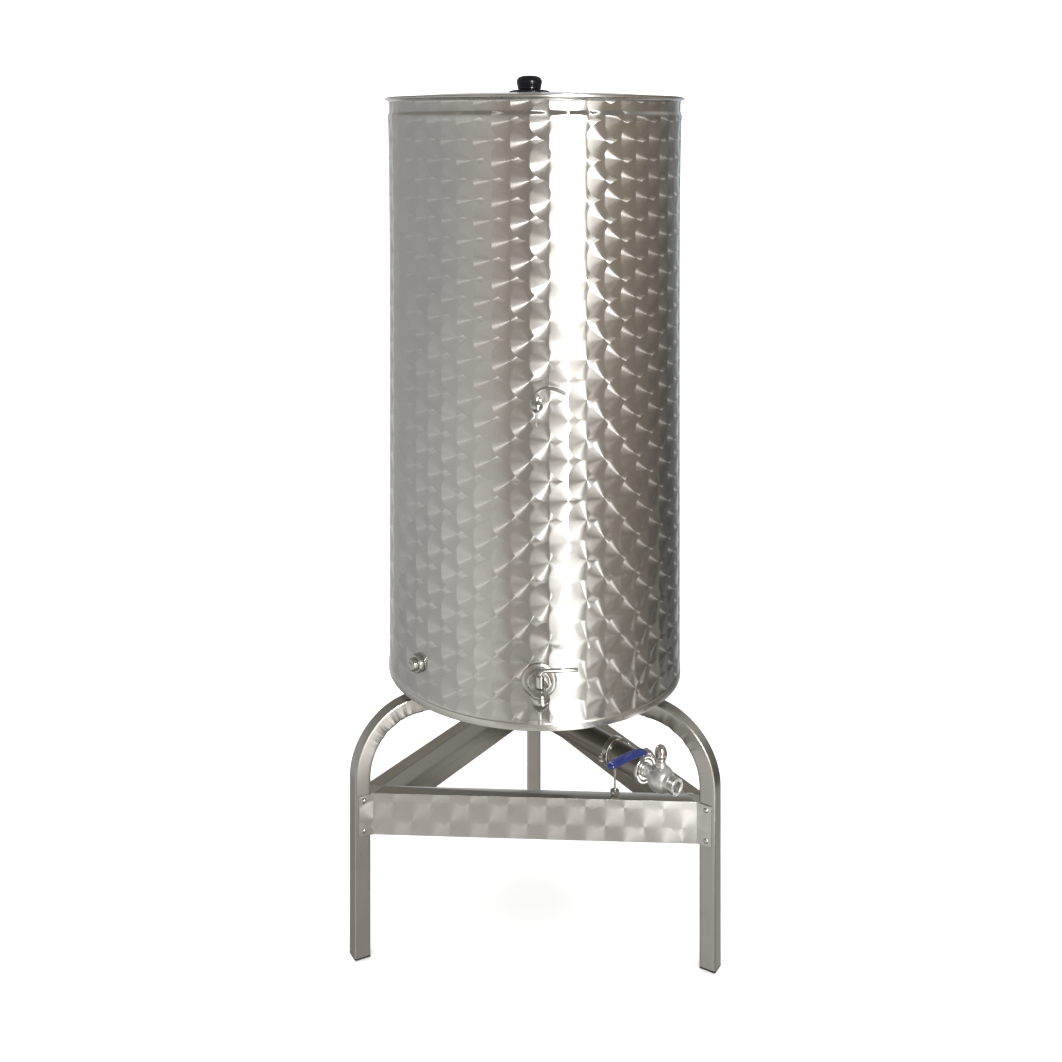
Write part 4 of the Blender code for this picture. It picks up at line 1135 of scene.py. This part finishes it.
def build_world():
    """White behind the object, and a plain grey and brown room for the steel to mirror."""
    world = bpy.data.worlds.new("studio")
    bpy.context.scene.world = world
    world.use_nodes = True
    nodes = world.node_tree.nodes
    backdrop = nodes["Background"]
    backdrop.inputs["Color"].default_value = (1.0, 1.0, 1.0, 1.0)
    backdrop.inputs["Strength"].default_value = BACKDROP_STRENGTH
    graph = Graph(world.node_tree)
    x, y, z = graph.split(graph.add("ShaderNodeTexCoord").outputs["Generated"])
    turn = graph.math("ARCTAN2", x, graph.times(y, -1.0))
    walls, far, near, ceiling, sooner = (
        round_room(graph, turn, stops) for stops in (WALLS, FAR_GROUND, NEAR_GROUND, CEILING, SOONER)
    )
    near = graph.mix(graph.fade(z, *UNDERFOOT_FADE), near, (*UNDERFOOT, 1.0))
    ground = graph.mix(graph.fade(z, *FAR_GROUND_FADE), walls, far)
    start = graph.math("MULTIPLY_ADD", sooner, -NEAR_SOONER, z)
    sides = graph.mix(graph.fade(start, *NEAR_GROUND_FADE), ground, near)
    room = graph.mix(graph.fade(z, *CEILING_FADE), sides, ceiling)
    mirror = graph.add("ShaderNodeBackground", room, 1.0)
    mirrored = graph.add("ShaderNodeLightPath").outputs["Is Glossy Ray"]
    both = graph.add("ShaderNodeMixShader", mirrored, backdrop.outputs[0], mirror.outputs[0])
    graph.feed(nodes["World Output"].inputs["Surface"], both.outputs[0])


def build_floor():
    bm = bmesh.new()
    bmesh.ops.create_circle(bm, cap_ends=True, segments=96, radius=14.0)
    mesh = bpy.data.meshes.new("floor")
    bm.to_mesh(mesh)
    bm.free()
    floor = linked("floor", mesh)
    floor.location.z = -0.0002
    material, graph, shader, place = new_material("pale_floor", 0.0, 0.9)
    shader.inputs["Specular IOR Level"].default_value = 0.0
    pale = graph.ramp(graph.noise(place, 3.0), (0.3, (0.935, 0.935, 0.93)), (0.7, (0.955, 0.955, 0.95)))
    graph.feed(shader.inputs["Base Color"], pale)
    mesh.materials.append(material)
    floor.visible_glossy = False


def area_light(name, place, target, size, power, turn=0.0):
    """A soft light that only the steel's reflections show."""
    data = bpy.data.lights.new(name, "AREA")
    data.shape = "RECTANGLE"
    data.size, data.size_y = size
    data.energy = power
    data.color = (1.0, 0.995, 0.98)
    light = linked(name, data)
    light.location = place
    facing = (Vector(target) - Vector(place)).to_track_quat("-Z", "Y").to_matrix()
    light.rotation_euler = (Matrix.Rotation(radians(turn), 3, "Z") @ facing).to_euler()
    light.visible_camera = False
    light.visible_diffuse = False


def build_light():
    """Three lights ahead, aimed at the tank, and four patches of bright ground that face up."""
    bpy.context.scene.view_settings.view_transform = "Standard"
    bpy.context.scene.view_settings.look = "None"
    for name, place, aim, size, power in (
        ("window", (1.60, -3.35, 1.37), 1.37, (1.55, 1.74), 27.0),
        ("window_sill", (1.60, -3.35, 0.25), 0.25, (1.55, 0.46), 2.4),
        ("lamp", (1.60, -3.30, 1.95), 1.1, (0.42, 0.60), 85.0),
    ):
        area_light(name, place, (0.0, 0.0, aim), size, power)
    for name, place, size, power, turn in (
        ("near_ground", (0.676, -1.597, 0.01), (0.37, 0.95), 5.0, 25.0),
        ("far_ground", (1.045, -2.375, 0.01), (0.68, 0.80), 5.2, 25.0),
        ("floor_patch", (0.44, -0.85, 0.01), (0.38, 0.30), 0.7, 0.0),
        ("cap_patch", (0.94, -0.275, 0.01), (0.17, 0.12), 0.24, 0.0),
    ):
        area_light(name, place, (*place[:2], 1.0), size, power, turn)


def main():
    marbled = swirled("marbled_sheet", round_sheet)
    tube = brushed("satin_tube", (0.54, 0.525, 0.495), 0.29, (1.0, 1.0, 0.02))
    # The legs' tube steel, darker for the drain as painted shade under the tank
    drain = brushed("drain_tube_shaded_steel", (0.37, 0.345, 0.31), 0.29, (1.0, 1.0, 0.02))
    rolled = brushed("rolled_edge", (0.70, 0.69, 0.66), 0.24, (0.03, 1.0, 1.0))
    # Mill sheet for the tank's floor: rougher as its real finish, and darker as painted shade under the tank
    shaded_underside = brushed("mill_sheet_and_shade", (0.42, 0.40, 0.37), 0.40, (0.03, 1.0, 1.0))
    lid_sheet = brushed("lid_sheet", (0.76, 0.75, 0.72), 0.20, (0.03, 1.0, 1.0))
    chrome = turned_steel("polished_fittings", (0.72, 0.71, 0.69), 0.14, 0.00001)
    turned = turned_steel("turned_fittings", (0.64, 0.63, 0.60), 0.26, 0.00002)
    cast = cast_steel("cast_valve", (0.83, 0.825, 0.81), 0.36)
    black = moulded("black_knob", (0.003, 0.004, 0.008), 0.24, 0.10, shine=0.35)
    glide = moulded("foot_glide", (0.035, 0.034, 0.033), 0.55)
    blue = moulded("blue_sleeve", (0.003, 0.013, 0.115), 0.25, 1.0)

    build_tank(marbled, rolled, shaded_underside)
    build_lid(lid_sheet, black)
    build_legs(tube, glide)
    build_rails(chrome)
    build_main_tap(chrome, turned)
    build_sample_tap(chrome, turned)
    build_side_plug(turned)
    build_drain(drain)
    build_clamp(chrome)
    build_valve(chrome, cast)
    build_valve_lever(chrome, blue)
    build_weld(tube)
    dress("lid_knob_screw", chrome)
    dress("valve_lever_arm", chrome, 0.0008)
    build_camera()
    build_world()
    build_floor()
    build_light()


main()
